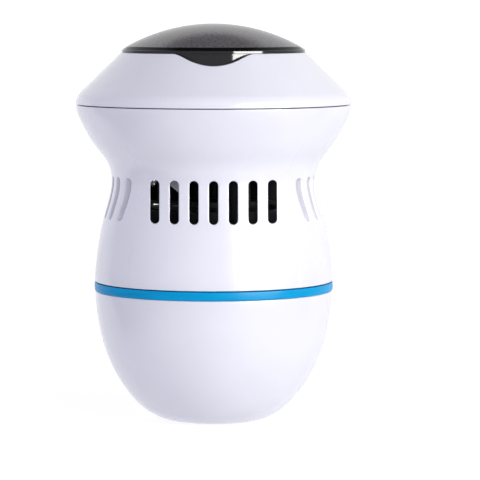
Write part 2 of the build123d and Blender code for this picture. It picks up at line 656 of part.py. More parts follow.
# ================================================================ fan chamber
column_points = on_circle(BOSS_CIRCLE, COLUMN_ANGLES)
tray_post_points = on_circle(TRAY_POST_CIRCLE, HOLDER_ANGLES)
SCROLL_BOTTOM = 100.6
SCROLL_INNER = 33.4
SCROLL_OUTER = 35.0
SCROLL_START = -123
SCROLL_SWEEP = 14
SCROLL_ENDS = (SCROLL_START, SCROLL_START + SCROLL_SWEEP)
EYE_LIP = 1.6
with BuildPart() as fan_deck:
    ring(EYE_RADIUS, DECK_RADIUS, DECK_BOTTOM, DECK_TOP)
    ring(EYE_RADIUS, EYE_RADIUS + 1.4, DECK_BOTTOM - EYE_LIP, DECK_BOTTOM)
    posts(POST_RADIUS, tray_post_points, DECK_BOTTOM, TRAY_FLOOR_BOTTOM)
    posts(PILOT_RADIUS, tray_post_points, DECK_TOP + 1.0, TRAY_FLOOR_BOTTOM, mode=Mode.SUBTRACT)
    posts(POST_RADIUS, arm_points, DECK_BOTTOM - EYE_LIP, DECK_BOTTOM)
    posts(PILOT_RADIUS, arm_points, DECK_BOTTOM - EYE_LIP, DECK_TOP, mode=Mode.SUBTRACT)
    posts(CLEAR_HOLE_RADIUS, deck_points + column_points, DECK_BOTTOM, DECK_TOP, mode=Mode.SUBTRACT)
    # scroll tongue that splits the fan's outlet, its lower edge cut on a slant
    with BuildSketch(Plane.XY.offset(SCROLL_BOTTOM)):
        with BuildLine():
            CenterArc((0, 0), SCROLL_OUTER, SCROLL_START, SCROLL_SWEEP)
            CenterArc((0, 0), SCROLL_INNER, SCROLL_START, SCROLL_SWEEP)
            for near, far in zip(on_circle(SCROLL_INNER, SCROLL_ENDS), on_circle(SCROLL_OUTER, SCROLL_ENDS)):
                Line(near, far)
        make_face()
    extrude(amount=DECK_BOTTOM - SCROLL_BOTTOM)
    with BuildSketch(Plane.XZ):
        with BuildLine():
            Polyline((-20.5, 107.0), (-10.0, 99.0), (-21.0, 99.0), close=True)
        make_face()
    extrude(amount=HEAD_RADIUS, mode=Mode.SUBTRACT)
    with BuildSketch(Plane.XY.offset(DECK_BOTTOM)):
        with Locations((0, LEAD_GAP_Y + 0.5)):
            Rectangle(12.0, 9.0)
    extrude(amount=DECK_TOP - DECK_BOTTOM, mode=Mode.SUBTRACT)
save(fan_deck, "fan_deck")

COLUMN_PILOT_DEPTH = 9.0
with BuildPart() as fan_base:
    ring(0, FLOOR_RADIUS, FLOOR_BOTTOM, FLOOR_TOP)
    ring(0, DRUM_RADIUS, FLOOR_BOTTOM, DRUM_TOP)
    fillet(fan_base.edges().group_by(Axis.Z)[-1], 1.0)
    ring(0, DRUM_RADIUS - DRUM_WALL, FLOOR_BOTTOM, DRUM_TOP - DRUM_WALL, mode=Mode.SUBTRACT)
    posts(COLUMN_RADIUS, column_points, FLOOR_TOP, DECK_BOTTOM)
    posts(PILOT_RADIUS, column_points, DECK_BOTTOM - COLUMN_PILOT_DEPTH, DECK_BOTTOM, mode=Mode.SUBTRACT)
    with BuildSketch(Plane.XY.offset(FLOOR_BOTTOM)):
        with Locations((0, LEAD_GAP_Y + 2.5)):
            Rectangle(12.0, 6.0)
    extrude(amount=FLOOR_TOP - FLOOR_BOTTOM, mode=Mode.SUBTRACT)
save(fan_base, "fan_base")

DECK_SCREW_LENGTH = 6.0
screws("deck_screws", deck_points + column_points, DECK_TOP, DECK_SCREW_LENGTH)

# ================================================================ dust parts
TRAY_GAP = 0.5  # between the tray and the shell that it sits in


def tray_side_points(wall, low):
    """Points along the flare, inset by a wall, from a low height to the tray's rim."""
    flare = inset_points(body_outline, wall, steps=28)
    return [p for p in flare if low < p[1] < TRAY_TOP - 1.0]


with BuildPart() as dust_tray:
    with BuildSketch(Plane.XZ):
        outer_points = tray_side_points(WALL + TRAY_GAP, TRAY_FLOOR_BOTTOM)
        inner_points = tray_side_points(WALL + TRAY_GAP + TRAY_WALL, TRAY_FLOOR_TOP)
        with BuildLine():
            outer_side = Spline(*outer_points)
            inner_side = Spline(*inner_points)
            Polyline(
                outer_side @ 1, ((outer_side @ 1).X, TRAY_TOP), ((inner_side @ 1).X, TRAY_TOP),
                inner_side @ 1,
            )
            Polyline(
                inner_side @ 0, ((inner_side @ 0).X - 1.0, TRAY_FLOOR_TOP),
                (COLLAR_RADIUS + TRAY_WALL, TRAY_FLOOR_TOP), (COLLAR_RADIUS + TRAY_WALL, COLLAR_TOP),
                (COLLAR_RADIUS, COLLAR_TOP), (COLLAR_RADIUS, TRAY_FLOOR_BOTTOM),
                ((outer_side @ 0).X - 1.0, TRAY_FLOOR_BOTTOM), outer_side @ 0,
            )
        make_face()
    revolve(axis=Axis.Z)
    posts(CLEAR_HOLE_RADIUS, tray_post_points, TRAY_FLOOR_BOTTOM, TRAY_FLOOR_TOP, mode=Mode.SUBTRACT)
    # windows under the sponge
    with BuildSketch(Plane.XY.offset(TRAY_FLOOR_BOTTOM)):
        with PolarLocations(26.5, 16):
            SlotOverall(9.6, 4.6)
    extrude(amount=TRAY_FLOOR_TOP - TRAY_FLOOR_BOTTOM, mode=Mode.SUBTRACT)
save(dust_tray, "dust_tray")

TRAY_SCREW_LENGTH = 7.0
screws("tray_screws", tray_post_points, TRAY_FLOOR_TOP, TRAY_SCREW_LENGTH)

with BuildPart() as filter_sponge:
    ring(SPONGE_INNER, SPONGE_OUTER, TRAY_FLOOR_TOP + 0.1, SPONGE_TOP)
    fillet(filter_sponge.edges(), 1.0)
save(filter_sponge, "filter_sponge")

CAGE_OUTER = 35.4
CAGE_WINDOW_Z = 129.8
with BuildPart() as filter_cage:
    ring(COLLAR_RADIUS + TRAY_WALL + 0.15, CAGE_OUTER, SPONGE_TOP + 0.1, SPONGE_TOP + 1.9)
    fillet(filter_cage.edges().group_by(Axis.Z)[-1], 0.6)
    ring(SPONGE_OUTER + 0.6, CAGE_OUTER, TRAY_FLOOR_TOP + 0.1, SPONGE_TOP + 1.0)
    with BuildSketch(Plane.XY.offset(SPONGE_TOP)):
        with PolarLocations(26.9, 18):
            SlotOverall(10.4, 3.4)
    extrude(amount=2.0, mode=Mode.SUBTRACT)
    for angle in range(0, 180, 20):
        side_plane = Plane.XZ.rotated((0, 0, angle))
        with BuildSketch(side_plane):
            with Locations((0, CAGE_WINDOW_Z)):
                SlotOverall(9.6, 3.4, rotation=90)
        extrude(amount=CAGE_OUTER + 1, both=True, mode=Mode.SUBTRACT)
save(filter_cage, "filter_cage")

# ================================================================ battery
CELL_TOP = CELL_BOTTOM + CELL_LENGTH
CELL_BUTTON_RADIUS = 3.0
CELL_BUTTON_HEIGHT = 0.8
CELL_GAP = 0.25
with BuildPart() as battery_cell:
    ring(0, CELL_RADIUS, CELL_BOTTOM, CELL_TOP - CELL_BUTTON_HEIGHT)
    fillet(battery_cell.edges(), 0.6)
    ring(0, CELL_BUTTON_RADIUS, CELL_TOP - CELL_BUTTON_HEIGHT - 0.2, CELL_TOP)
save(battery_cell, "battery_cell")

TAB_WIDTH = 5.0
TAB_LENGTH = 12.0
TAB_THICKNESS = 0.2
with BuildPart() as cell_tabs:
    with BuildSketch(Plane.XY.offset(CELL_TOP)):
        with Locations((0, 3.0)):
            Rectangle(TAB_WIDTH, TAB_LENGTH)
    extrude(amount=TAB_THICKNESS)
    with BuildSketch(Plane.XY.offset(CELL_BOTTOM - TAB_THICKNESS)):
        with Locations((0, 1.0)):
            Rectangle(TAB_WIDTH, TAB_LENGTH)
    extrude(amount=TAB_THICKNESS)
save(cell_tabs, "cell_tabs")

# Tube for the cell, with the plate that hangs it from the body shell.
holder_outer = CELL_RADIUS + CELL_GAP + HOLDER_WALL
FIN_REACH = 40.0
FIN_FOOT = 30.0  # height at which the fins leave the tube
GUIDE_HEIGHT = 16.0
GUIDE_X = 14.4
with BuildPart() as battery_holder:
    ring(0, holder_outer, HOLDER_BOTTOM, PLATE_TOP)
    ring(0, PLATE_RADIUS, PLATE_BOTTOM, PLATE_TOP)
    posts(POST_RADIUS, base_points, HOLDER_BOTTOM, HOLDER_BOTTOM + 9.0)
    # six fins between the tube and the plate
    for angle in (0, 60, 120):
        with BuildSketch(Plane.XZ.rotated((0, 0, angle))):
            with BuildLine():
                Polyline(
                    (-FIN_REACH, PLATE_BOTTOM + 0.5), (FIN_REACH, PLATE_BOTTOM + 0.5),
                    (holder_outer, FIN_FOOT), (-holder_outer, FIN_FOOT),
                    close=True,
                )
            make_face()
        extrude(amount=0.9, both=True)
    ring(0, CELL_RADIUS + CELL_GAP, CELL_BOTTOM - 0.3, PLATE_TOP, mode=Mode.SUBTRACT)
    posts(PILOT_RADIUS, base_points, HOLDER_BOTTOM, HOLDER_BOTTOM + 7.5, mode=Mode.SUBTRACT)
    posts(CLEAR_HOLE_RADIUS, plate_points, PLATE_BOTTOM, PLATE_TOP, mode=Mode.SUBTRACT)
    # gap for the leads and the board at the rear, and two guide slots beside it
    with BuildSketch(Plane.XY.offset(PLATE_BOTTOM)):
        with Locations((0, 41.0)):
            Rectangle(24.0, 14.0)
    extrude(amount=PLATE_TOP - PLATE_BOTTOM, mode=Mode.SUBTRACT)
    with BuildSketch(Plane.XY.offset(PLATE_BOTTOM)):
        with Locations((-GUIDE_X, BOARD_Y), (GUIDE_X, BOARD_Y)):
            Rectangle(3.2, 4.6)
    extrude(amount=GUIDE_HEIGHT)
    with BuildSketch(Plane.XY.offset(PLATE_TOP)):
        with Locations((0, BOARD_Y + BOARD_THICKNESS / 2)):
            Rectangle(BOARD_WIDTH + 0.4, BOARD_THICKNESS + 0.3)
    extrude(amount=BOARD_TOP - PLATE_TOP, mode=Mode.SUBTRACT)
save(battery_holder, "battery_holder")

HOLDER_SCREW_LENGTH = 7.0
screws("holder_screws", plate_points, PLATE_BOTTOM, HOLDER_SCREW_LENGTH, pointing_up=True)

# ================================================================ control board
board_middle = (BOARD_BOTTOM + BOARD_TOP) / 2
board_face = Plane.XZ.offset(-BOARD_Y)
board_rear = BOARD_Y + BOARD_THICKNESS
with BuildPart() as control_board:
    with BuildSketch(board_face):
        with Locations((0, board_middle)):
            RectangleRounded(BOARD_WIDTH, BOARD_TOP - BOARD_BOTTOM, 0.8)
    extrude(amount=-BOARD_THICKNESS)
save(control_board, "control_board")

# Driver chip, switching transistor, capacitor, coil and the lamp's package.
CHIP_HEIGHT = 1.5
TALL_PART_HEIGHT = 5.5
LAMP_HEIGHT = 1.2
with BuildPart() as board_parts:
    with BuildSketch(board_face):
        with Locations((-7.5, 80.0)):
            Rectangle(5.0, 4.0)
        with Locations((7.0, 80.5)):
            Rectangle(6.4, 6.0)
    extrude(amount=CHIP_HEIGHT)
    with BuildSketch(board_face):
        with Locations((-8.0, 71.5)):
            Circle(2.5)
        with Locations((8.5, 72.0)):
            Rectangle(4.6, 4.6)
    extrude(amount=TALL_PART_HEIGHT)
    with BuildSketch(Plane.XZ.offset(-board_rear)):
        with Locations((0, LENS_Z)):
            Rectangle(2.6, 2.6)
    extrude(amount=-LAMP_HEIGHT)
save(board_parts, "board_parts")

SWITCH_DEPTH = 3.6
SWITCH_BODY_DEPTH = 2.0
with BuildPart() as power_switch:
    with BuildSketch(Plane.XZ.offset(-board_rear)):
        with Locations((0, BUTTON_Z)):
            RectangleRounded(6.0, 6.0, 0.5)
    extrude(amount=-SWITCH_BODY_DEPTH)
    with BuildSketch(Plane.XZ.offset(-board_rear)):
        with Locations((0, BUTTON_Z)):
            Circle(1.7)
    extrude(amount=-SWITCH_DEPTH + BUTTON_TRAVEL)
save(power_switch, "power_switch")

# Round cap in the rear of the body, its outer face dished for a fingertip.
DISH_RADIUS = 18.6
DISH_DEPTH = 0.6
button_back = board_rear + SWITCH_DEPTH
button_face = BUTTON_Y + 0.9
with BuildPart() as power_button:
    with BuildSketch(Plane.XZ.offset(-button_back)):
        with Locations((0, BUTTON_Z)):
            Circle(BUTTON_RADIUS)
    extrude(amount=-(button_face - button_back))
    fillet(power_button.edges().group_by(Axis.Y)[-1], 0.8)
    with Locations((0, button_face + DISH_RADIUS - DISH_DEPTH, BUTTON_Z)):
        Sphere(DISH_RADIUS, mode=Mode.SUBTRACT)
save(power_button, "power_button")

LENS_Y = 48.2  # inner end of the light pipe
LENS_LENGTH = 4.0
with BuildPart() as indicator_lens:
    with BuildSketch(Plane.XZ.offset(-LENS_Y)):
        with Locations((0, LENS_Z)):
            Circle(LENS_RADIUS)
    extrude(amount=-LENS_LENGTH)
    fillet(indicator_lens.edges().group_by(Axis.Y)[-1], 0.4)
save(indicator_lens, "indicator_lens")

# ================================================================ charging port
CHARGE_BOARD_THICKNESS = 1.2
with BuildPart() as charge_board:
    with BuildSketch(Plane.XY.offset(SHELF_TOP)):
        with Locations((0, SHELF_MIDDLE_Y - 1.0)):
            Rectangle(SHELF_WIDTH - 2.0, SHELF_DEPTH - 3.0)
    extrude(amount=CHARGE_BOARD_THICKNESS)
save(charge_board, "charge_board")

# Metal shell with a contact tongue inside it.
SOCKET_BACK = 1.4
SOCKET_WALL = 0.35
with BuildPart() as charge_socket:
    with BuildSketch(Plane.XZ.offset(-SOCKET_Y)):
        with Locations((0, SOCKET_Z)):
            SlotOverall(SOCKET_WIDTH, SOCKET_HEIGHT)
    extrude(amount=-SOCKET_LENGTH)
    with BuildSketch(Plane.XZ.offset(-(SOCKET_Y + SOCKET_BACK))):
        with Locations((0, SOCKET_Z)):
            SlotOverall(SOCKET_WIDTH - 2 * SOCKET_WALL, SOCKET_HEIGHT - 2 * SOCKET_WALL)
    extrude(amount=-SOCKET_LENGTH, mode=Mode.SUBTRACT)
    with BuildSketch(Plane.XZ.offset(-(SOCKET_Y + 0.9))):
        with Locations((0, SOCKET_Z)):
            Rectangle(5.6, 0.7)
    extrude(amount=-(SOCKET_LENGTH - 2.0))
save(charge_socket, "charge_socket")

# ================================================================ leads
TERMINAL_END_Y = 16.9
lead_pair(
    "motor_leads",
    [
        (0, TERMINAL_END_Y, END_CAP_BOTTOM + 2.0), (0, LEAD_GAP_Y, DECK_TOP + 1.2),
        (0, LEAD_GAP_Y + 1.2, FLOOR_TOP + 2.0), (0, BOARD_Y - 1.6, BOARD_TOP - 2.1),
    ],
    spacing=8.0, bend=4.0,
)
lead_pair(
    "battery_leads",
    [
        (0, 8.0, CELL_TOP + 1.2), (0, 20.0, CELL_TOP + 3.5), (0, 33.0, CELL_TOP + 2.0),
        (0, BOARD_Y - 0.8, CELL_TOP - 1.0),
    ],
    spacing=3.0, bend=8.0,
)
lead_pair(
    "charge_leads",
    [
        (0, 38.2, SHELF_TOP + CHARGE_BOARD_THICKNESS + 1.2), (0, 36.5, 56.0), (0, 36.5, PLATE_BOTTOM),
        (0, BOARD_Y - 0.8, BOARD_BOTTOM + 2.9),
    ],
    spacing=2.6, bend=3.0,
)
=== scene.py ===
import json
import math

import bmesh
import bpy
import numpy as np
from bpy.props import FloatProperty, FloatVectorProperty, IntProperty, PointerProperty
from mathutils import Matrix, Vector, noise


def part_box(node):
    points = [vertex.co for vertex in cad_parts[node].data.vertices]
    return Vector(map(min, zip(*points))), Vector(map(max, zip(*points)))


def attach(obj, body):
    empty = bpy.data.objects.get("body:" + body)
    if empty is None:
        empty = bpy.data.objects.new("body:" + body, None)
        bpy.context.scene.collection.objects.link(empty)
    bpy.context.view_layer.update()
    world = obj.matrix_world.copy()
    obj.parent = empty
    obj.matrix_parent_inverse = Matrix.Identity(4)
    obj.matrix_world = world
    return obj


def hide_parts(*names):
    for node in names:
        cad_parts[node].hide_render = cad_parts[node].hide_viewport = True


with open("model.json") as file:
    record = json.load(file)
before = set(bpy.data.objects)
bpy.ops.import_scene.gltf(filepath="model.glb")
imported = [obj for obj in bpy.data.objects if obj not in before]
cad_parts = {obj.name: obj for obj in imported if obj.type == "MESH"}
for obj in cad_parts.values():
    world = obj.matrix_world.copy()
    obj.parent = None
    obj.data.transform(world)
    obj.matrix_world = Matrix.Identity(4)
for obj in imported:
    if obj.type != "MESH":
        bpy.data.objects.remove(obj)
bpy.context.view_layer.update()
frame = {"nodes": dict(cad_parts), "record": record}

bl_info = {
    "name": "Callus remover looks",
    "version": (1, 0, 0),
    "blender": (4, 5, 0),
    "location": "View3D > Sidebar > Callus remover",
    "description": "Casing, lid, disc, foam and finishes for an electric callus remover",
    "category": "Object",
}

MM = 0.001
FRONT = -math.pi / 2  # the angle about the axis that faces the front



def corners(node):
    """The two corners of a CAD node's box, in millimetres."""
    return [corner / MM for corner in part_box(node)]


FOOT_HIGH = corners("foot_pad")[1]
BOWL_LOW, BOWL_HIGH = corners("lower_shell")
BAND_LOW, BAND_HIGH = corners("accent_ring")
BODY_LOW, BODY_HIGH = corners("body_shell")
COVER_LOW, COVER_HIGH = corners("head_cover")
LID_LOW, LID_HIGH = corners("lid")
DOME_EDGE = COVER_HIGH.z + 2.7  # where the lid's dome meets its bevel; below it the lid is painted near-black as painted shade
GRIT_LOW, GRIT_HIGH = corners("abrasive_disc")
FOAM_LOW, FOAM_HIGH = corners("filter_sponge")
BUTTON_LOW, BUTTON_HIGH = corners("power_button")
LENS_LOW, LENS_HIGH = corners("indicator_lens")
SOCKET_LOW, SOCKET_HIGH = corners("charge_socket")


# ------------------------------------------------------------------ settings
def a_length(name, text, default):
    """A length that the panel shows in scene units."""
    return FloatProperty(name=name, description=text, default=default, min=0.0, unit="LENGTH")


def an_angle(name, text, degrees):
    """An angle that the panel shows in degrees."""
    return FloatProperty(name=name, description=text, default=math.radians(degrees), subtype="ANGLE")


def a_colour(name, text, default):
    """A colour that the panel shows as a swatch."""
    return FloatVectorProperty(name=name, description=text, default=default, subtype="COLOR", min=0, max=1)


class CasingSettings(bpy.types.PropertyGroup):
    wall: a_length("Wall", "Thickness of the two casing shells", 0.0025)
    slot_width: a_length("Slot width", "Width of a vent slot", 0.0039)
    slot_low: a_length("Slot foot", "Height of a slot's lower end", 0.0900)
    slot_high: a_length("Slot head", "Height of a slot's upper end", 0.1085)
    slot_pitch: a_length("Slot pitch", "Distance from slot to slot", 0.0084)
    slot_count: IntProperty(name="Slots", description="Slots in each of the four groups", default=7, min=1)
    slot_round: a_length("Slot rounding", "Round on a slot's outer edge", 0.00045)
    parting: a_length("Parting line", "Depth of the mould's parting lines", 0.00013)
    colour: a_colour("White", "Colour of the white plastic", (0.80, 0.80, 0.88))


class BandSettings(bpy.types.PropertyGroup):
    crown: a_length("Crown", "How far the band's face bulges", 0.00012)
    colour: a_colour("Blue", "Colour of the band", (0.0, 0.315, 0.640))


class HeadSettings(bpy.types.PropertyGroup):
    wall: a_length("Wall", "Thickness of the head cover", 0.0022)
    shoulder: a_length("Shoulder", "Round between the seam and the slope", 0.0075)
    slope: an_angle("Slope", "Slope of the cover from the vertical", 45.8)
    mouth: a_length("Mouth radius", "Radius of the cover's upper edge", 0.0406)
    notch_depth: a_length("Notch depth", "Depth of the finger notch", 0.0051)
    notch_half: a_length("Notch half width", "From the notch's middle to its end", 0.0175)


class LidSettings(bpy.types.PropertyGroup):
    wall: a_length("Wall", "Thickness of the lid", 0.0018)
    tint: a_colour("Smoke", "Colour of the smoke tint", (0.120, 0.112, 0.120))


class WorkingSettings(bpy.types.PropertyGroup):
    grit: a_length("Grit", "Height of the abrasive grains", 0.00022)
    pore: a_length("Pore", "Depth of the foam's pores", 0.0006)


class StageSettings(bpy.types.PropertyGroup):
    distance: a_length("Camera distance", "From the camera to the object's axis", 1.314)
    height: a_length("Camera height", "Height of the camera above the base", 0.1875)
    down: an_angle("Tilt", "How far the camera looks down", 4.69)
    aside: an_angle("Turn", "How far the camera turns to the right", 0.507)
    lens: FloatProperty(name="Lens", description="Focal length in millimetres", default=224.0)


# ------------------------------------------------------------------ outlines
def smooth_curve(points, start, end, steps=240):
    """Cubic spline through the points, with unit tangents at its two ends."""
    pts = np.array(points, float)
    t = np.concatenate(([0.0], np.cumsum(np.hypot(*np.diff(pts, axis=0).T))))
    h = np.diff(t)
    n = len(pts)
    system = np.zeros((n, n))
    known = np.zeros((n, 2))
    system[0, 0] = system[-1, -1] = 1.0
    known[0], known[-1] = start, end
    for i in range(1, n - 1):
        system[i, i - 1], system[i, i], system[i, i + 1] = h[i], 2 * (h[i - 1] + h[i]), h[i - 1]
        known[i] = 3 * (h[i] * (pts[i] - pts[i - 1]) / h[i - 1] + h[i - 1] * (pts[i + 1] - pts[i]) / h[i])
    slope = np.linalg.solve(system, known)
    found = []
    for u in np.linspace(0, t[-1], steps):
        i = min(int(np.searchsorted(t, u, side="right")) - 1, n - 2)
        s = (u - t[i]) / h[i]
        found.append(
            (2 * s**3 - 3 * s**2 + 1) * pts[i] + (s**3 - 2 * s**2 + s) * h[i] * slope[i]
            + (3 * s**2 - 2 * s**3) * pts[i + 1] + (s**3 - s**2) * h[i] * slope[i + 1]
        )
    return np.array(found)


def inset_curve(curve, wall):
    """The curve moved to its left by a wall's thickness."""
    along = np.gradient(curve, axis=0)
    along /= np.hypot(*along.T)[:, None]
    return curve + wall * np.stack([-along[:, 1], along[:, 0]], axis=1)


def thin_out(curve, spacing):
    """Points of a fine curve at about the given spacing, its ends kept."""
    length = np.concatenate(([0.0], np.cumsum(np.hypot(*np.diff(curve, axis=0).T))))
    count = max(2, int(round(length[-1] / spacing)))
    at = np.linspace(0, length[-1], count + 1)
    return [(float(np.interp(a, length, curve[:, 0])), float(np.interp(a, length, curve[:, 1]))) for a in at]


def round_corners(corners, steps=4):
    """Points of an outline whose corners are (r, z, radius); radius 0 keeps a corner."""
    found = []
    count = len(corners)
    for k in range(count):
        here = np.array(corners[k][:2], float)
        radius = corners[k][2]
        if radius == 0:
            found.append(tuple(here))
            continue
        before = np.array(corners[k - 1][:2], float) - here
        after = np.array(corners[(k + 1) % count][:2], float) - here
        before /= np.linalg.norm(before)
        after /= np.linalg.norm(after)
        half = math.acos(max(-1.0, min(1.0, float(before @ after)))) / 2
        start = here + before * radius / math.tan(half)
        end = here + after * radius / math.tan(half)
        centre = here + (before + after) / np.linalg.norm(before + after) * radius / math.sin(half)
        a, b = start - centre, end - centre
        turn = math.pi - 2 * half
        for s in range(steps + 1):
            w = s / steps
            point = centre + (math.sin((1 - w) * turn) * a + math.sin(w * turn) * b) / math.sin(turn)
            found.append(tuple(point))
    return found


def bowl_curve():
    """Outside of the lower shell, from its flat to its mouth."""
    return smooth_curve(
        [(17.0, BOWL_LOW.z), (30.0, 5.0), (39.2, 14.7), (45.3, 25.2), (49.7, 38.0), (51.7, 50.0),
         (BOWL_HIGH.x, BOWL_HIGH.z)], (1, 0), (0, 1))


def body_curve():
    """Outside of the waisted shell, from the band to the seam."""
    return smooth_curve(
        [(52.4, BODY_LOW.z), (51.1, 76.2), (48.4, 90.0), (45.5, 100.8), (44.8, 106.2), (46.6, 114.2),
         (51.6, 121.0), (57.0, 129.8), (60.0, 136.6), (BODY_HIGH.x, BODY_HIGH.z)], (0, 1), (0, 1))


# ------------------------------------------------------------------ mesh tools
def new_piece(name, vertices, faces, body, slot):
    """A smooth-shaded mesh from millimetre points, riding on a body."""
    mesh = bpy.data.meshes.new(name)
    mesh.from_pydata([tuple(c * MM for c in v) for v in vertices], [], faces)
    work = bmesh.new()
    work.from_mesh(mesh)
    bmesh.ops.remove_doubles(work, verts=work.verts, dist=2e-7)
    bmesh.ops.dissolve_degenerate(work, dist=1e-7, edges=work.edges)
    bmesh.ops.recalc_face_normals(work, faces=work.faces)
    work.to_mesh(mesh)
    work.free()
    mesh.polygons.foreach_set("use_smooth", [True] * len(mesh.polygons))
    piece = bpy.data.objects.new(name, mesh)
    bpy.context.scene.collection.objects.link(piece)
    mesh.materials.append(finish_of(slot))
    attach(piece, body)
    return piece


def turned(profile_at, columns, closed=True):
    """Vertices and faces swept about the axis. profile_at(angle) gives the (r, z)
    points of the profile there; a closed profile joins its last point to its first."""
    vertices, faces = [], []
    rows = len(profile_at(columns[0]))
    for angle in columns:
        c, s = math.cos(angle), math.sin(angle)
        vertices.extend((r * c, r * s, z) for r, z in profile_at(angle))
    count = len(columns)
    for i in range(count):
        j = (i + 1) % count
        for k in range(rows if closed else rows - 1):
            m = (k + 1) % rows
            faces.append((i * rows + k, j * rows + k, j * rows + m, i * rows + m))
    return vertices, faces


def even_columns(count):
    """Angles all the way round, the first facing the front."""
    return [FRONT + 2 * math.pi * k / count for k in range(count)]


def weigh_normals(piece):
    """Flat faces keep flat shading right up to their rounded edges."""
    weigh = piece.modifiers.new("face weights", "WEIGHTED_NORMAL")
    weigh.keep_sharp = True
    weigh.weight = 60


def cut(piece, cutter):
    """Cuts one mesh out of another and removes the cutter."""
    cutting = piece.modifiers.new("cut", "BOOLEAN")
    cutting.operation = "DIFFERENCE"
    cutting.solver = "EXACT"
    cutting.object = cutter
    bpy.context.view_layer.update()
    graph = bpy.context.evaluated_depsgraph_get()
    made = bpy.data.meshes.new_from_object(piece.evaluated_get(graph))
    piece.modifiers.remove(cutting)
    old = piece.data
    piece.data = made
    bpy.data.meshes.remove(old)
    bpy.data.objects.remove(cutter)


def mark_sharp(piece, degrees):
    """Marks the edges that a cut left sharp, so that smooth shading stops at them."""
    work = bmesh.new()
    work.from_mesh(piece.data)
    limit = math.radians(degrees)
    for edge in work.edges:
        if len(edge.link_faces) == 2:
            edge.smooth = edge.calc_face_angle(0.0) < limit
    work.to_mesh(piece.data)
    work.free()


def stand_in(piece, node, sharp):
    """Sharpens and shades a moulding and puts it in place of its CAD node."""
    mark_sharp(piece, sharp)
    weigh_normals(piece)
    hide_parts(node)


def side_cutter(outline, y_from, y_to):
    """A solid with an outline in X and Z, in millimetres, from one depth to another."""
    count = len(outline)
    vertices = [(x, y_from, z) for x, z in outline] + [(x, y_to, z) for x, z in outline]
    faces = [tuple(range(count)), tuple(range(2 * count - 1, count - 1, -1))]
    faces += [(k, k + count, (k + 1) % count + count, (k + 1) % count) for k in range(count)]
    mesh = bpy.data.meshes.new("cutter")
    mesh.from_pydata([tuple(c * MM for c in v) for v in vertices], [], faces)
    work = bmesh.new()
    work.from_mesh(mesh)
    bmesh.ops.recalc_face_normals(work, faces=work.faces)
    work.to_mesh(mesh)
    work.free()
    cutter = bpy.data.objects.new("cutter", mesh)
    bpy.context.scene.collection.objects.link(cutter)
    return cutter


def stadium(middle_x, middle_z, width, height, steps=16):
    """Outline of a slot, wider than it is high or the other way round."""
    radius = min(width, height) / 2
    dx, dz = max(0.0, width / 2 - radius), max(0.0, height / 2 - radius)
    found = []
    for k in range(2 * steps):
        a = 2 * math.pi * (k + 0.5) / (2 * steps)
        found.append((middle_x + radius * math.cos(a) + math.copysign(dx, math.cos(a)),
                      middle_z + radius * math.sin(a) + math.copysign(dz, math.sin(a))))
    return found


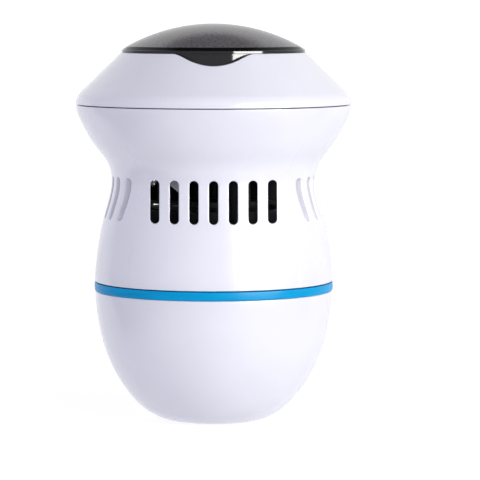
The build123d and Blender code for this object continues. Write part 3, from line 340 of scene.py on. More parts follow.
# ------------------------------------------------------------------ finishes
class Finish:
    """A procedural material and the few node steps that the finishes share."""

    def __init__(self, name):
        self.material = bpy.data.materials.new(name)
        self.material.use_nodes = True
        self.nodes = self.material.node_tree.nodes
        self.links = self.material.node_tree.links
        self.shader = self.nodes["Principled BSDF"]
        self.place = self.nodes.new("ShaderNodeTexCoord").outputs["Object"]
        self.normal = None

    def cloud(self, scale, detail=3.0, rough=0.5, stretch=None):
        """Noise in object space; scale is features per metre, roughly."""
        node = self.nodes.new("ShaderNodeTexNoise")
        node.inputs["Scale"].default_value = scale
        node.inputs["Detail"].default_value = detail
        node.inputs["Roughness"].default_value = rough
        source = self.place
        if stretch:
            mapping = self.nodes.new("ShaderNodeMapping")
            mapping.inputs["Scale"].default_value = stretch
            self.links.new(source, mapping.inputs["Vector"])
            source = mapping.outputs["Vector"]
        self.links.new(source, node.inputs["Vector"])
        return node.outputs["Fac"]

    def cells(self, scale, feature="F1"):
        """Voronoi cells in object space."""
        node = self.nodes.new("ShaderNodeTexVoronoi")
        node.feature = feature
        node.inputs["Scale"].default_value = scale
        self.links.new(self.place, node.inputs["Vector"])
        return node.outputs["Distance"]

    def between(self, value, low, high, to_low, to_high):
        """Maps a value from one range to another."""
        node = self.nodes.new("ShaderNodeMapRange")
        for key, number in (("From Min", low), ("From Max", high), ("To Min", to_low), ("To Max", to_high)):
            node.inputs[key].default_value = number
        self.links.new(value, node.inputs["Value"])
        return node.outputs["Result"]

    def tones(self, value, stops):
        """Colour ramp; stops are (position, colour)."""
        node = self.nodes.new("ShaderNodeValToRGB")
        ramp = node.color_ramp
        while len(ramp.elements) < len(stops):
            ramp.elements.new(0.5)
        for element, (position, colour) in zip(ramp.elements, stops):
            element.position = position
            element.color = (*colour, 1.0)
        self.links.new(value, node.inputs["Fac"])
        return node.outputs["Color"]

    def blend_colours(self, amount, first, second):
        """Mixes two colour outputs by an amount."""
        node = self.nodes.new("ShaderNodeMix")
        node.data_type = "RGBA"
        self.links.new(amount, node.inputs[0])
        self.links.new(first, node.inputs[6])
        self.links.new(second, node.inputs[7])
        return node.outputs[2]

    def colour(self, value):
        self.links.new(value, self.shader.inputs["Base Color"])

    def drift(self, colour, low, high, *cloud):
        """Base tone that drifts between a darker and a lighter shade."""
        stops = [(0.3, lighter(colour, low)), (0.7, lighter(colour, high))]
        self.colour(self.tones(self.cloud(*cloud), stops))

    def roughness(self, value):
        self.links.new(value, self.shader.inputs["Roughness"])

    def patchy(self, rough, *cloud):
        """Roughness that wanders between two values."""
        self.roughness(self.between(self.cloud(*cloud), 0.3, 0.7, rough[0], rough[1]))

    def bump(self, height, strength, depth):
        """Adds a bump on top of those already there; depth is in metres."""
        node = self.nodes.new("ShaderNodeBump")
        node.inputs["Strength"].default_value = strength
        node.inputs["Distance"].default_value = depth
        self.links.new(height, node.inputs["Height"])
        if self.normal is not None:
            self.links.new(self.normal, node.inputs["Normal"])
        self.normal = node.outputs["Normal"]
        self.links.new(self.normal, self.shader.inputs["Normal"])

    def set(self, **values):
        """Sets shader sockets to plain values; underscores stand for spaces."""
        for key, value in values.items():
            self.shader.inputs[key.replace("_", " ")].default_value = value


def lighter(colour, factor):
    return tuple(min(1.0, c * factor) for c in colour)


def glossy_plastic(name, colour, rough=(0.16, 0.24), coat=0.35, drift=0.03, scatter=0.0):
    """Moulded gloss plastic: a faint drift of tone, flow haze and an orange-peel skin."""
    f = Finish(name)
    drifted = f.tones(f.cloud(28.0, 4.0),
                      [(0.3, lighter(colour, 1 - drift)), (0.7, lighter(colour, 1 + drift))])
    specks = f.tones(f.between(f.cells(900.0), 0.03, 0.10, 0.0, 1.0),
                     [(0.0, lighter(colour, 0.86)), (1.0, colour)])
    f.colour(f.blend_colours(f.between(f.cloud(420.0, 2.0), 0.60, 0.72, 0.0, 0.5), drifted, specks))
    f.patchy(rough, 75.0, 5.0, 0.6)
    f.bump(f.cloud(650.0, 2.0), 0.05, 0.00012)
    f.bump(f.cloud(2600.0, 3.0, 0.6, (1.0, 1.0, 0.12)), 0.03, 0.00004)
    f.set(IOR=1.49, Coat_Weight=coat, Coat_Roughness=0.06, Coat_IOR=1.5)
    if scatter:
        f.set(Subsurface_Weight=scatter, Subsurface_Scale=0.002, Subsurface_Radius=(1.0, 0.9, 0.9))
    return f.material


def matte_plastic(name, colour, grain=1500.0, rough=(0.45, 0.62), depth=0.00006, shine=0.45):
    """Spark-textured plastic: a fine pebble grain with slightly worn, shinier patches."""
    f = Finish(name)
    f.drift(colour, 0.88, 1.14, 60.0, 5.0)
    f.patchy(rough, 140.0, 4.0)
    f.bump(f.cloud(grain, 3.0, 0.7), 0.35, depth)
    f.set(IOR=1.5, Specular_IOR_Level=shine)
    return f.material


def satin_blue(name, colour):
    """Deep azure plastic with a low sheen and fine rubbed streaks along the band."""
    f = Finish(name)
    f.drift(colour, 0.90, 1.12, 260.0, 4.0, 0.6, (0.25, 0.25, 6.0))
    f.patchy((0.26, 0.36), 90.0, 4.0)
    f.bump(f.cloud(1200.0, 3.0), 0.06, 0.00005)
    f.set(IOR=1.45, Specular_IOR_Level=0.10)
    return f.material


def metal(name, colour, rough=(0.22, 0.38), brush=(1.0, 1.0, 30.0), tint=0.08):
    """Plated or ground metal: fine drawn lines and faint stains."""
    f = Finish(name)
    f.drift(colour, 1 - tint, 1 + tint, 90.0, 4.0)
    f.patchy(rough, 220.0, 5.0, 0.6, brush)
    f.bump(f.cloud(900.0, 4.0, 0.6, brush), 0.12, 0.00003)
    f.set(Metallic=1.0)
    return f.material


def smoke_plastic(name, tint):
    """Smoke-tinted plastic: a hazy dome with mica flakes over a polished rim and skirt painted near-black,
    painted shade for the dark look of the thick smoke edge.
    """
    f = Finish(name)
    apart = f.nodes.new("ShaderNodeSeparateXYZ")
    f.links.new(f.place, apart.inputs[0])
    edge = DOME_EDGE * MM
    dome = f.between(apart.outputs["Z"], edge - 0.00005, edge + 0.0001, 0.0, 1.0)
    haze = f.tones(f.cloud(130.0, 4.0), [(0.25, lighter(tint, 0.85)), (0.75, lighter(tint, 1.15))])
    flakes = f.tones(f.between(f.cells(1500.0), 0.12, 0.34, 0.0, 1.0),
                     [(0.0, lighter(tint, 2.4)), (1.0, lighter(tint, 0.62))])
    hazy = f.blend_colours(f.between(f.cloud(800.0, 2.0), 0.40, 0.60, 0.15, 1.0), haze, flakes)
    # Painted shade: the rim and skirt below the dome edge get a near-black colour with a few light specks,
    # standing in for the dark look of the thick smoke plastic.
    painted_dark_rim = f.tones(f.cells(1500.0), [(0.0, lighter(tint, 0.30)), (0.25, lighter(tint, 0.04)),
                                     (1.0, lighter(tint, 0.02))])
    f.colour(f.blend_colours(dome, painted_dark_rim, hazy))
    f.roughness(f.between(dome, 0.0, 1.0, 0.07, 0.21))
    bevel = f.between(apart.outputs["Z"], (COVER_HIGH.z + 0.2) * MM, (COVER_HIGH.z + 3.2) * MM, 0.0, 1.0)
    dull = (0.03, 0.03, 0.03)
    shine = f.tones(bevel, [(0.36, (0.45, 0.45, 0.45)), (0.42, dull), (0.82, dull), (0.86, (0.5, 0.5, 0.5))])
    f.links.new(shine, f.shader.inputs["Specular IOR Level"])
    f.bump(f.cloud(1700.0, 2.0), 0.16, 0.00006)
    f.bump(f.cloud(700.0, 5.0, 0.7, (0.15, 1.0, 1.0)), 0.04, 0.00003)
    f.set(IOR=1.5)
    return f.material


def rubber(name, colour):
    """Soft black rubber with a dusty bloom."""
    f = Finish(name)
    f.colour(f.tones(f.cloud(180.0, 5.0), [(0.35, colour), (0.75, lighter(colour, 1.7))]))
    f.patchy((0.62, 0.85), 300.0, 3.0)
    f.bump(f.cloud(2000.0, 3.0), 0.3, 0.00005)
    f.set(Sheen_Weight=0.15, Sheen_Roughness=0.5)
    return f.material


def abrasive(name):
    """Silicon carbide grit with glittering facets: tones partly the grit's own and partly painted light,
    lighter on the raised grain centres (painted highlight) and near-black in the gaps between grains (painted
    shade).
    """
    f = Finish(name)
    grains = f.cells(2600.0)
    # Painted highlight and shade: lighter on the raised grain centres, near-black in the low gaps between
    # grains.
    f.colour(f.tones(grains, [(0.0, (0.34, 0.32, 0.30)), (0.35, (0.16, 0.15, 0.14)),
                              (0.8, (0.045, 0.042, 0.04))]))
    f.roughness(f.between(f.cloud(3000.0, 2.0), 0.35, 0.65, 0.28, 0.85))
    f.bump(grains, 0.9, -0.0002)
    f.set(IOR=1.9, Specular_IOR_Level=0.7)
    return f.material


def foam(name, colour):
    """Open-cell filter foam, matte: the foam's own dark grey, painted darker in the pits of the pores as
    painted shade and lighter on the raised struts as painted light.
    """
    f = Finish(name)
    pores = f.cells(850.0)
    # Painted shade and light: darker in the pits at the pore centres, lighter on the raised struts between
    # them.
    f.colour(f.tones(pores, [(0.0, lighter(colour, 0.15)), (0.45, colour), (1.0, lighter(colour, 1.6))]))
    f.bump(pores, 1.0, 0.0006)
    f.set(Roughness=0.95, Sheen_Weight=0.2)
    return f.material


def felt(name, colour):
    """Pressed wool felt with short loose fibres."""
    f = Finish(name)
    f.drift(colour, 0.8, 1.0, 900.0, 6.0, 0.7)
    f.bump(f.cloud(2600.0, 5.0, 0.8), 0.8, 0.0003)
    f.set(Roughness=0.95, Sheen_Weight=0.5)
    return f.material


def board(name):
    """Green solder mask over a faint weave of tracks."""
    f = Finish(name)
    tracks = f.cells(260.0, "DISTANCE_TO_EDGE")
    f.colour(f.tones(tracks, [(0.0, (0.03, 0.22, 0.09)), (0.06, (0.03, 0.22, 0.09)),
                              (0.10, (0.008, 0.10, 0.045))]))
    f.bump(tracks, 0.3, 0.00005)
    f.set(Roughness=0.32, Coat_Weight=0.4)
    return f.material


def cell_sleeve(name):
    """Shrink sleeve on the cell: glossy, with fine shrink ripples."""
    f = Finish(name)
    f.colour(f.tones(f.cloud(40.0, 3.0), [(0.3, (0.02, 0.10, 0.24)), (0.7, (0.03, 0.15, 0.33))]))
    f.patchy((0.15, 0.3), 200.0, 3.0)
    f.bump(f.cloud(420.0, 3.0, 0.5, (1.0, 1.0, 0.2)), 0.25, 0.0001)
    return f.material


def clear_lens(name):
    """Frosted clear light pipe."""
    f = Finish(name)
    f.colour(f.tones(f.cloud(500.0, 2.0), [(0.3, (0.80, 0.90, 0.95)), (0.7, (0.92, 0.97, 1.0))]))
    f.bump(f.cloud(1800.0, 2.0), 0.1, 0.00004)
    f.set(Roughness=0.18, Transmission_Weight=0.7, IOR=1.49)
    return f.material


def make_finishes(scene):
    """One material for each slot of the record."""
    white = tuple(scene.callus_casing.colour)
    return {
        "smoke_lid": smoke_plastic("smoke tinted lid", tuple(scene.callus_lid.tint)),
        "white_shell": glossy_plastic("gloss white casing", white, scatter=0.05),
        "blue_band": satin_blue("satin azure band", tuple(scene.callus_band.colour)),
        "rubber_pad": rubber("black rubber", (0.012, 0.012, 0.013)),
        "dark_plastic": matte_plastic("textured black plastic", (0.006, 0.006, 0.007), shine=0.15),
        "platen_plastic": matte_plastic("satin grey platen", (0.035, 0.035, 0.040), 900.0),
        "abrasive": abrasive("silicon carbide grit"),
        "inner_white": matte_plastic("satin white inner plastic", (0.66, 0.66, 0.70), 800.0,
                                     (0.35, 0.50), 0.00003),
        "impeller_plastic": matte_plastic("satin black fan", (0.005, 0.005, 0.006), 700.0,
                                          (0.50, 0.65), 0.00003, 0.12),
        "steel": metal("ground steel", (0.58, 0.58, 0.60)),
        "zinc_steel": metal("zinc plated can", (0.55, 0.56, 0.58), (0.28, 0.42)),
        "screw_steel": metal("zinc plated screw", (0.48, 0.48, 0.50), (0.30, 0.45), (1.0, 1.0, 1.0)),
        "motor_plastic": matte_plastic("black nylon", (0.012, 0.012, 0.012)),
        "ferrite": matte_plastic("dark ferrite", (0.050, 0.050, 0.052), 2200.0, (0.55, 0.75)),
        "winding": metal("enamelled copper", (0.55, 0.22, 0.08), (0.20, 0.35), (1.0, 1.0, 18.0), 0.2),
        "bronze": metal("sintered bronze", (0.52, 0.34, 0.15), (0.35, 0.55), (1.0, 1.0, 1.0)),
        "felt": felt("wool felt", (0.62, 0.60, 0.54)),
        "sponge": foam("filter foam", (0.035, 0.035, 0.040)),
        "cell_wrap": cell_sleeve("cell sleeve"),
        "board_green": board("solder mask"),
        "button_grey": glossy_plastic("satin grey button", (0.42, 0.43, 0.47), (0.28, 0.38), 0.1),
        "clear_lens": clear_lens("clear light pipe"),
        "lead_red": glossy_plastic("red insulation", (0.45, 0.015, 0.012), (0.35, 0.5), 0.0, 0.1),
        "lead_black": glossy_plastic("black insulation", (0.012, 0.012, 0.012), (0.35, 0.5), 0.0, 0.2),
    }


def finish_of(slot):
    """The material made for a slot."""
    return bpy.data.materials[bpy.context.scene["callus_finishes"][slot]]


# ------------------------------------------------------------------ operators
class CALLUS_OT_finishes(bpy.types.Operator):
    """Make the finishes and give them to the CAD nodes that stay"""

    bl_idname = "callus.finishes"
    bl_label = "Finishes"

    def execute(self, context):
        made = make_finishes(context.scene)
        context.scene["callus_finishes"] = {slot: material.name for slot, material in made.items()}
        for row in frame["record"]["subparts"]:
            materials = frame["nodes"][row["node"]].data.materials
            if len(materials) == 0:
                materials.append(made[row["material_slot"]])
            for k in range(len(materials)):
                materials[k] = made[row["material_slot"]]
        return {"FINISHED"}


class CALLUS_OT_lower_shell(bpy.types.Operator):
    """Turn the bowl, with its pad recess and its charging port"""

    bl_idname = "callus.lower_shell"
    bl_label = "Lower shell"

    def execute(self, context):
        wall = context.scene.callus_casing.wall / MM
        outside = bowl_curve()
        inside = inset_curve(outside, wall)
        recess = FOOT_HIGH.x + 0.2
        floor_top = BOWL_LOW.z + 3.0
        mouth = BOWL_HIGH.z
        foot = round_corners([(0, FOOT_HIGH.z, 0), (recess, FOOT_HIGH.z, 0), (recess, BOWL_LOW.z, 0.3),
                              (17.0, BOWL_LOW.z, 0)])
        outer = thin_out(outside, 1.6)[1:-1]
        rim = round_corners([(BOWL_HIGH.x, mouth - 2, 0), (BOWL_HIGH.x, mouth, 0.5),
                             (BOWL_HIGH.x - wall, mouth, 0.25), (BOWL_HIGH.x - wall, mouth - 2, 0)])[1:-1]
        inner = [p for p in thin_out(inside, 2.4)[::-1] if floor_top < p[1] < mouth - 1.0]
        profile = foot + outer + rim + inner + [(inner[-1][0] - 2.0, floor_top), (0, floor_top)]
        vertices, faces = turned(lambda angle: profile, even_columns(192), closed=False)
        shell = new_piece("lower_shell_moulding", vertices, faces, "root", "white_shell")
        port_x = SOCKET_HIGH.x - SOCKET_LOW.x + 0.8
        port_z = SOCKET_HIGH.z - SOCKET_LOW.z + 0.8
        cut(shell, side_cutter(stadium(0, (SOCKET_HIGH.z + SOCKET_LOW.z) / 2, port_x, port_z), 40.0, 60.0))
        stand_in(shell, "lower_shell", 35.0)
        return {"FINISHED"}


class CALLUS_OT_band(bpy.types.Operator):
    """Turn the blue band with its crowned face and its clamping tongue"""

    bl_idname = "callus.band"
    bl_label = "Blue band"

    def execute(self, context):
        crown = context.scene.callus_band.crown / MM
        low, high = BAND_LOW.z + 3.0, BAND_HIGH.z - 3.0
        face = BAND_HIGH.x
        inner = face - 3.35
        profile = round_corners([
            (face - crown, low, 0.35), (face, (low + high) / 2, 0), (face - crown, high, 0.35),
            (inner + 0.2, high, 0), (inner + 0.2, BAND_HIGH.z, 0.2), (inner - 1.0, BAND_HIGH.z, 0.2),
            (inner - 1.0, BAND_LOW.z, 0.2), (inner + 0.2, BAND_LOW.z, 0.2), (inner + 0.2, low, 0)])
        vertices, faces = turned(lambda angle: profile, even_columns(224))
        band = new_piece("accent_ring_band", vertices, faces, "root", "blue_band")
        stand_in(band, "accent_ring", 50.0)
        return {"FINISHED"}


class VentedShell:
    """Works out the waisted shell with four groups of straight-cut vent slots."""

    CELL_COLUMNS = 6
    END_ROWS = 3
    MID_ROWS = 6
    ROUND_STEPS = 4

    def __init__(self, casing):
        self.wall = casing.wall / MM
        self.pitch = casing.slot_pitch / MM
        self.half = casing.slot_width / MM / 2
        self.fillet = casing.slot_round / MM
        self.parting = casing.parting / MM
        self.count = casing.slot_count
        self.arc_low = casing.slot_low / MM + self.half
        self.arc_high = casing.slot_high / MM - self.half
        self.band_low = casing.slot_low / MM - 3.4
        self.band_high = casing.slot_high / MM + 3.4
        outside = body_curve()
        inside = inset_curve(outside, self.wall)
        self.outer_r = lambda z: float(np.interp(z, outside[:, 1], outside[:, 0]))
        self.inner_r = lambda z: float(np.interp(z, inside[:, 1], inside[:, 0]))
        self.edge = self.pitch * self.count / 2
        self.vertices, self.faces = [], []
        self.rows = self.band_rows()

    def band_rows(self):
        """Heights of the rows that pass the slots, from the top down."""
        ends = np.linspace(self.band_high, self.arc_high, self.END_ROWS + 1)
        middle = np.linspace(self.arc_high, self.arc_low, self.MID_ROWS + 1)[1:]
        feet = np.linspace(self.arc_low, self.band_low, self.END_ROWS + 1)[1:]
        return [float(z) for z in (*ends, *middle, *feet)]

    def columns(self, z, quarter):
        """Angles of all the columns in one quarter at a height, and which is the parting line."""
        r = self.outer_r(z)
        xs = np.linspace(-self.edge, self.edge, self.count * self.CELL_COLUMNS + 1)
        panel = [math.asin(x / r) for x in xs]
        end = panel[-1]
        middle = math.pi / 4
        hair = math.radians(0.22)
        corner = [end + (middle - hair - end) * w for w in (0.34, 0.68, 1.0)] + [middle, middle + hair]
        corner += [middle + hair + (math.pi / 2 - end - middle - hair) * w for w in (0.34, 0.68)]
        turn = FRONT + quarter * math.pi / 2
        return [turn + a for a in panel + corner], len(panel) + 3

    def patch(self, grid):
        """Adds a grid of points and its quads."""
        base = len(self.vertices)
        width = len(grid[0])
        for row in grid:
            self.vertices.extend(row)
        for i in range(len(grid) - 1):
            for j in range(width - 1):
                k = base + i * width + j
                self.faces.append((k, k + 1, k + width + 1, k + width))

    def ring_row(self, r_at, z, z_columns, groove):
        """One closed row round the shell, its columns taken at another height."""
        row = []
        for quarter in range(4):
            angles, parting = self.columns(z_columns, quarter)
            for k, angle in enumerate(angles):
                r = r_at - (groove if k == parting else 0.0)
                row.append((r * math.cos(angle), r * math.sin(angle), z))
        row.append(row[0])
        return row

    def corner_patch(self, radius, groove):
        """The plain strips between the four groups, beside the slots."""
        for quarter in range(4):
            grid = []
            for z in self.rows:
                angles, parting = self.columns(z, quarter)
                first = self.count * self.CELL_COLUMNS
                after, unused = self.columns(z, quarter + 1)
                row = []
                for k in range(first, len(angles)):
                    r = radius(z) - (groove if k == parting else 0.0)
                    row.append((r * math.cos(angles[k]), r * math.sin(angles[k]), z))
                row.append((radius(z) * math.cos(after[0]), radius(z) * math.sin(after[0]), z))
                grid.append(row)
            self.patch(grid)

    def place(self, x, z, depth, quarter, radius):
        """A point on a group's surface, pushed in by a depth along the way the slots are cut."""
        y = -(math.sqrt(max(0.0, radius(z) ** 2 - x * x)) - depth)
        turn = quarter * math.pi / 2
        return (x * math.cos(turn) - y * math.sin(turn), x * math.sin(turn) + y * math.cos(turn), z)

    def border(self, middle):
        """The cell's edge, starting beside the upper arc on the right and going over the top."""
        left, right = middle - self.pitch / 2, middle + self.pitch / 2
        n = self.END_ROWS
        top = self.rows[: n + 1][::-1]
        bottom = self.rows[-n - 1:]
        across = np.linspace(right, left, self.CELL_COLUMNS + 1)
        points = [(right, z) for z in top[:-1]]
        points += [(float(x), self.band_high) for x in across]
        points += [(left, z) for z in self.rows[1: len(self.rows) - n]]
        points += [(left, z) for z in bottom[1:-1]]
        points += [(float(x), self.band_low) for x in across[::-1]]
        points += [(right, z) for z in self.rows[n + 1: len(self.rows) - 1][::-1]]
        return points

    def slot_loop(self, middle, half):
        """The slot's outline at a half width, point for point with the cell's edge."""
        arc = self.CELL_COLUMNS + 2 * self.END_ROWS
        turns = [math.pi * k / arc for k in range(arc + 1)]
        points = [(middle + half * math.cos(a), self.arc_high + half * math.sin(a)) for a in turns]
        sides = [float(z) for z in np.linspace(self.arc_high, self.arc_low, self.MID_ROWS + 1)]
        points += [(middle - half, z) for z in sides[1:-1]]
        points += [(middle - half * math.cos(a), self.arc_low - half * math.sin(a)) for a in turns]
        points += [(middle + half, z) for z in sides[1:-1][::-1]]
        return points

    def slot_cells(self):
        """Every slot: outer face, rounded edge, cut wall and inner face."""
        for quarter in range(4):
            for k in range(self.count):
                middle = (k - (self.count - 1) / 2) * self.pitch
                edge = self.border(middle)
                outer = self.slot_loop(middle, self.half + self.fillet)
                halfway = [((a[0] + 2 * b[0]) / 3, (a[1] + 2 * b[1]) / 3) for a, b in zip(edge, outer)]
                loops = [[self.place(x, z, 0.0, quarter, self.outer_r) for x, z in edge],
                         [self.place(x, z, 0.0, quarter, self.outer_r) for x, z in halfway]]
                for step in range(self.ROUND_STEPS + 1):
                    a = math.pi / 2 * step / self.ROUND_STEPS
                    half = self.half + self.fillet * (1 - math.sin(a))
                    depth = self.fillet * (1 - math.cos(a))
                    loops.append([self.place(x, z, depth, quarter, self.outer_r)
                                  for x, z in self.slot_loop(middle, half)])
                loops.append([self.place(x, z, 0.0, quarter, self.inner_r)
                              for x, z in self.slot_loop(middle, self.half)])
                loops.append([self.place(x, z, 0.0, quarter, self.inner_r) for x, z in edge])
                self.patch([loop + [loop[0]] for loop in loops])

    def plain_rows(self):
        """The shell above and below the slots, round both rims and back up inside."""
        low, high = BODY_LOW.z, BODY_HIGH.z
        small = 0.3
        below = [float(z) for z in np.linspace(self.band_low, low + small, 16)]
        above = [float(z) for z in np.linspace(high - small, self.band_high, 24)]
        corner = [(small * (1 - math.cos(a)), small * (1 - math.sin(a)))
                  for a in (math.pi / 2 * k / 4 for k in range(1, 5))]
        foot_r, head_r = self.outer_r(low + small), self.outer_r(high - small)

        def outer(zs, z_columns, groove):
            return [self.ring_row(self.outer_r(z), z, z_columns, groove) for z in zs]

        def inner(zs, z_columns):
            return [self.ring_row(self.inner_r(z), z, z_columns, 0.0) for z in zs]

        lower = outer(below, self.band_low, self.parting)
        lower += [self.ring_row(foot_r - d, low + e, self.band_low, 0.0) for d, e in corner]
        lower += inner([low], self.band_low) + inner(below[::-1], self.band_low)
        self.patch(lower)
        fade = self.band_high + 12.0
        upper = [self.ring_row(self.inner_r(z), z, self.band_high, 0.0) for z in above[::-1]]
        upper += inner([high], self.band_high)
        upper += [self.ring_row(head_r - d, high - e, self.band_high, 0.0) for d, e in corner[::-1]]
        upper += [self.ring_row(self.outer_r(z), z, self.band_high, self.parting if z < fade else 0.0)
                  for z in above]
        self.patch(upper)

    def build(self):
        self.plain_rows()
        self.corner_patch(self.outer_r, self.parting)
        self.corner_patch(self.inner_r, 0.0)
        self.slot_cells()
        return self.vertices, self.faces


class CALLUS_OT_body_shell(bpy.types.Operator):
    """Build the waisted shell with its rounded vent slots and its button well"""

    bl_idname = "callus.body_shell"
    bl_label = "Body shell"

    def execute(self, context):
        vertices, faces = VentedShell(context.scene.callus_casing).build()
        shell = new_piece("body_shell_moulding", vertices, faces, "root", "white_shell")
        button_z = (BUTTON_LOW.z + BUTTON_HIGH.z) / 2
        button_r = (BUTTON_HIGH.x - BUTTON_LOW.x) / 2
        lens_z = (LENS_LOW.z + LENS_HIGH.z) / 2
        lens_r = (LENS_HIGH.x - LENS_LOW.x) / 2
        well = stadium(0, button_z, 2 * button_r + 3.2, 2 * button_r + 3.2, 32)
        cut(shell, side_cutter(well, 50.6, 60.0))
        cut(shell, side_cutter(stadium(0, button_z, 2 * button_r + 0.5, 2 * button_r + 0.5, 32), 40.0, 60.0))
        cut(shell, side_cutter(stadium(0, lens_z, 2 * lens_r + 0.1, 2 * lens_r + 0.1, 14), 40.0, 60.0))
        stand_in(shell, "body_shell", 35.0)
        return {"FINISHED"}


class CALLUS_OT_head_cover(bpy.types.Operator):
    """Build the flared cover with its finger notch, flange and ring bosses"""

    bl_idname = "callus.head_cover"
    bl_label = "Head cover"

    def execute(self, context):
        head = context.scene.callus_head
        wall, shoulder, mouth = head.wall / MM, head.shoulder / MM, head.mouth / MM
        run = math.tan(head.slope)
        seam_r, seam_z, top = COVER_HIGH.x, COVER_LOW.z + 3.1, COVER_HIGH.z
        well, well_low, well_wall = 38.9, 153.2, 2.0
        flange_low, flange_high = 140.3, 142.0
        skirt_out, skirt_in = 54.4, 52.8
        half, depth = head.notch_half / MM, head.notch_depth / MM
        bend_x, bend_z = half * 0.663, top - depth * 0.43
        crescent = smooth_curve(
            [(-half, top), (-bend_x, bend_z), (0, top - depth), (bend_x, bend_z), (half, top)],
            (1, 0), (1, 0))

        def slope_r(z):
            return mouth + (top - z) * run

        def notch_at(x, facing):
            if facing <= 0 or abs(x) >= half:
                return top
            return float(np.interp(x, crescent[:, 0], crescent[:, 1]))

        arc = [(seam_r - shoulder + shoulder * math.cos(a), seam_z + shoulder * math.sin(a))
               for a in np.linspace(0, head.slope, 9)]
        inside = shoulder - wall
        inner_arc = [(seam_r - shoulder + inside * math.cos(a), seam_z + inside * math.sin(a))
                     for a in np.linspace(0, head.slope, 7)]
        corner_z = 155.0
        meets = top - (well + well_wall - mouth) / run - wall * math.sqrt(1 + 1 / run**2)
        corner_r = well + well_wall + (meets - corner_z) * run

        def profile_at(angle):
            facing = math.cos(angle - FRONT)
            across = math.sin(angle - FRONT)
            edge_z = top
            for step in range(24):
                edge_z = notch_at(slope_r(edge_z) * across, facing)
            well_z = notch_at(well * across, facing)
            bend = arc[-1]
            slope_points = []
            for w in np.linspace(0.08, 1.0, 12):
                z = bend[1] + (edge_z - bend[1]) * w
                slope_points.append((bend[0] + (slope_r(edge_z) - bend[0]) * w, z))
            lip = round_corners([slope_points[-2] + (0,), (slope_r(edge_z), edge_z, 0.45),
                                 (well, well_z, 0.3), (well, well_z - 3.0, 0)], 4)[1:]
            down = [(well, well_low + 1.0)]
            foot = round_corners([(well, well_low + 2.0, 0), (well, well_low, 0.3),
                                  (well + well_wall, well_low, 0.3), (well + well_wall, corner_z, 0.2),
                                  (corner_r, corner_z, 0)], 3)[1:]
            back = inner_arc[::-1]
            flange = [(back[-1][0], flange_high), (skirt_in, flange_high), (skirt_in, COVER_LOW.z),
                      (skirt_out, COVER_LOW.z), (skirt_out, flange_low), (seam_r - wall, flange_low),
                      (seam_r - wall, seam_z)]
            seam = [(seam_r - 0.25, seam_z), (seam_r - 0.07, seam_z + 0.07), (seam_r, seam_z + 0.25)]
            return arc[1:] + slope_points[:-1] + lip + down + foot + back[:-2] + flange + seam

        vertices, faces = turned(profile_at, even_columns(288))
        for angle in (-75, 45, 165):
            self.add_boss(vertices, faces, 43.4, math.radians(angle), well_low, 154.8)
        cover = new_piece("head_cover_moulding", vertices, faces, "head", "white_shell")
        stand_in(cover, "head_cover", 38.0)
        return {"FINISHED"}

    @staticmethod
    def add_boss(vertices, faces, circle, angle, low, high, radius=2.8, hole=1.3, steps=28):
        """A short tube that takes one of the suction ring's screws."""
        base = len(vertices)
        x, y = circle * math.cos(angle), circle * math.sin(angle)
        section = [(radius, low), (radius, high), (hole, high), (hole, low)]
        for k in range(steps):
            a = 2 * math.pi * k / steps
            vertices.extend((x + r * math.cos(a), y + r * math.sin(a), z) for r, z in section)
        for k in range(steps):
            j = (k + 1) % steps
            for m in range(4):
                n = (m + 1) % 4
                faces.append((base + 4 * k + m, base + 4 * j + m, base + 4 * j + n, base + 4 * k + n))


class CALLUS_OT_lid(bpy.types.Operator):
    """Turn the smoke lid with its dome, stepped rim and skirt"""

    bl_idname = "callus.lid"
    bl_label = "Lid"

    def execute(self, context):
        wall = context.scene.callus_lid.wall / MM
        top, rim_r = LID_HIGH.z, LID_HIGH.x
        dome_r, rim_top, rim_low = 38.0, 163.6, COVER_HIGH.z
        skirt_r = 38.4
        inside_r = skirt_r - wall
        rise = top - DOME_EDGE
        ball = (dome_r**2 + rise**2) / (2 * rise)

        def dome(r, drop):
            return top - drop - ball + math.sqrt(ball**2 - r**2)

        outer = [(float(r), dome(float(r), 0.0)) for r in np.linspace(0, dome_r - 0.3, 40)]
        rim = round_corners([outer[-1] + (0,), (dome_r, DOME_EDGE, 0.12), (rim_r, rim_top, 0.2),
                             (rim_r, rim_low, 0.2), (skirt_r, rim_low, 0.0), (skirt_r, LID_LOW.z, 0.4),
                             (inside_r, LID_LOW.z, 0.4), (inside_r, dome(inside_r, wall), 0.8),
                             (inside_r - 3.0, dome(inside_r - 3.0, wall), 0)], 4)[1:-1]
        inner = [(float(r), dome(float(r), wall)) for r in np.linspace(inside_r - 3.0, 0, 30)]
        profile = outer + rim + inner
        vertices, faces = turned(lambda angle: profile, even_columns(224), closed=False)
        lid = new_piece("lid_moulding", vertices, faces, "lid", "smoke_lid")
        stand_in(lid, "lid", 55.0)
        return {"FINISHED"}


class CALLUS_OT_abrasive_disc(bpy.types.Operator):
    """Build the disc with standing grains"""

    bl_idname = "callus.abrasive_disc"
    bl_label = "Abrasive disc"

    def execute(self, context):
        grit = context.scene.callus_working.grit / MM
        radius, low = GRIT_HIGH.x, GRIT_LOW.z
        face = GRIT_HIGH.z - grit
        rings, around = 86, 300
        vertices, faces = turned(
            lambda angle: [(radius * k / rings, face) for k in range(rings + 1)]
            + [(radius, low + 0.1), (radius - 0.1, low), (0, low)],
            even_columns(around), closed=False)
        grained = []
        for x, y, z in vertices:
            if z > face - 0.01:
                coarse = noise.noise(Vector((x * 2.1, y * 2.1, 3.0)))
                lump = coarse + 0.6 * noise.noise(Vector((x * 4.7, y * 4.7, 9.0)))
                z = face + grit * max(0.0, min(1.0, 0.5 + lump))
            grained.append((x, y, z))
        disc = new_piece("abrasive_disc_face", grained, faces, "rotor", "abrasive")
        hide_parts("abrasive_disc")
        return {"FINISHED"}


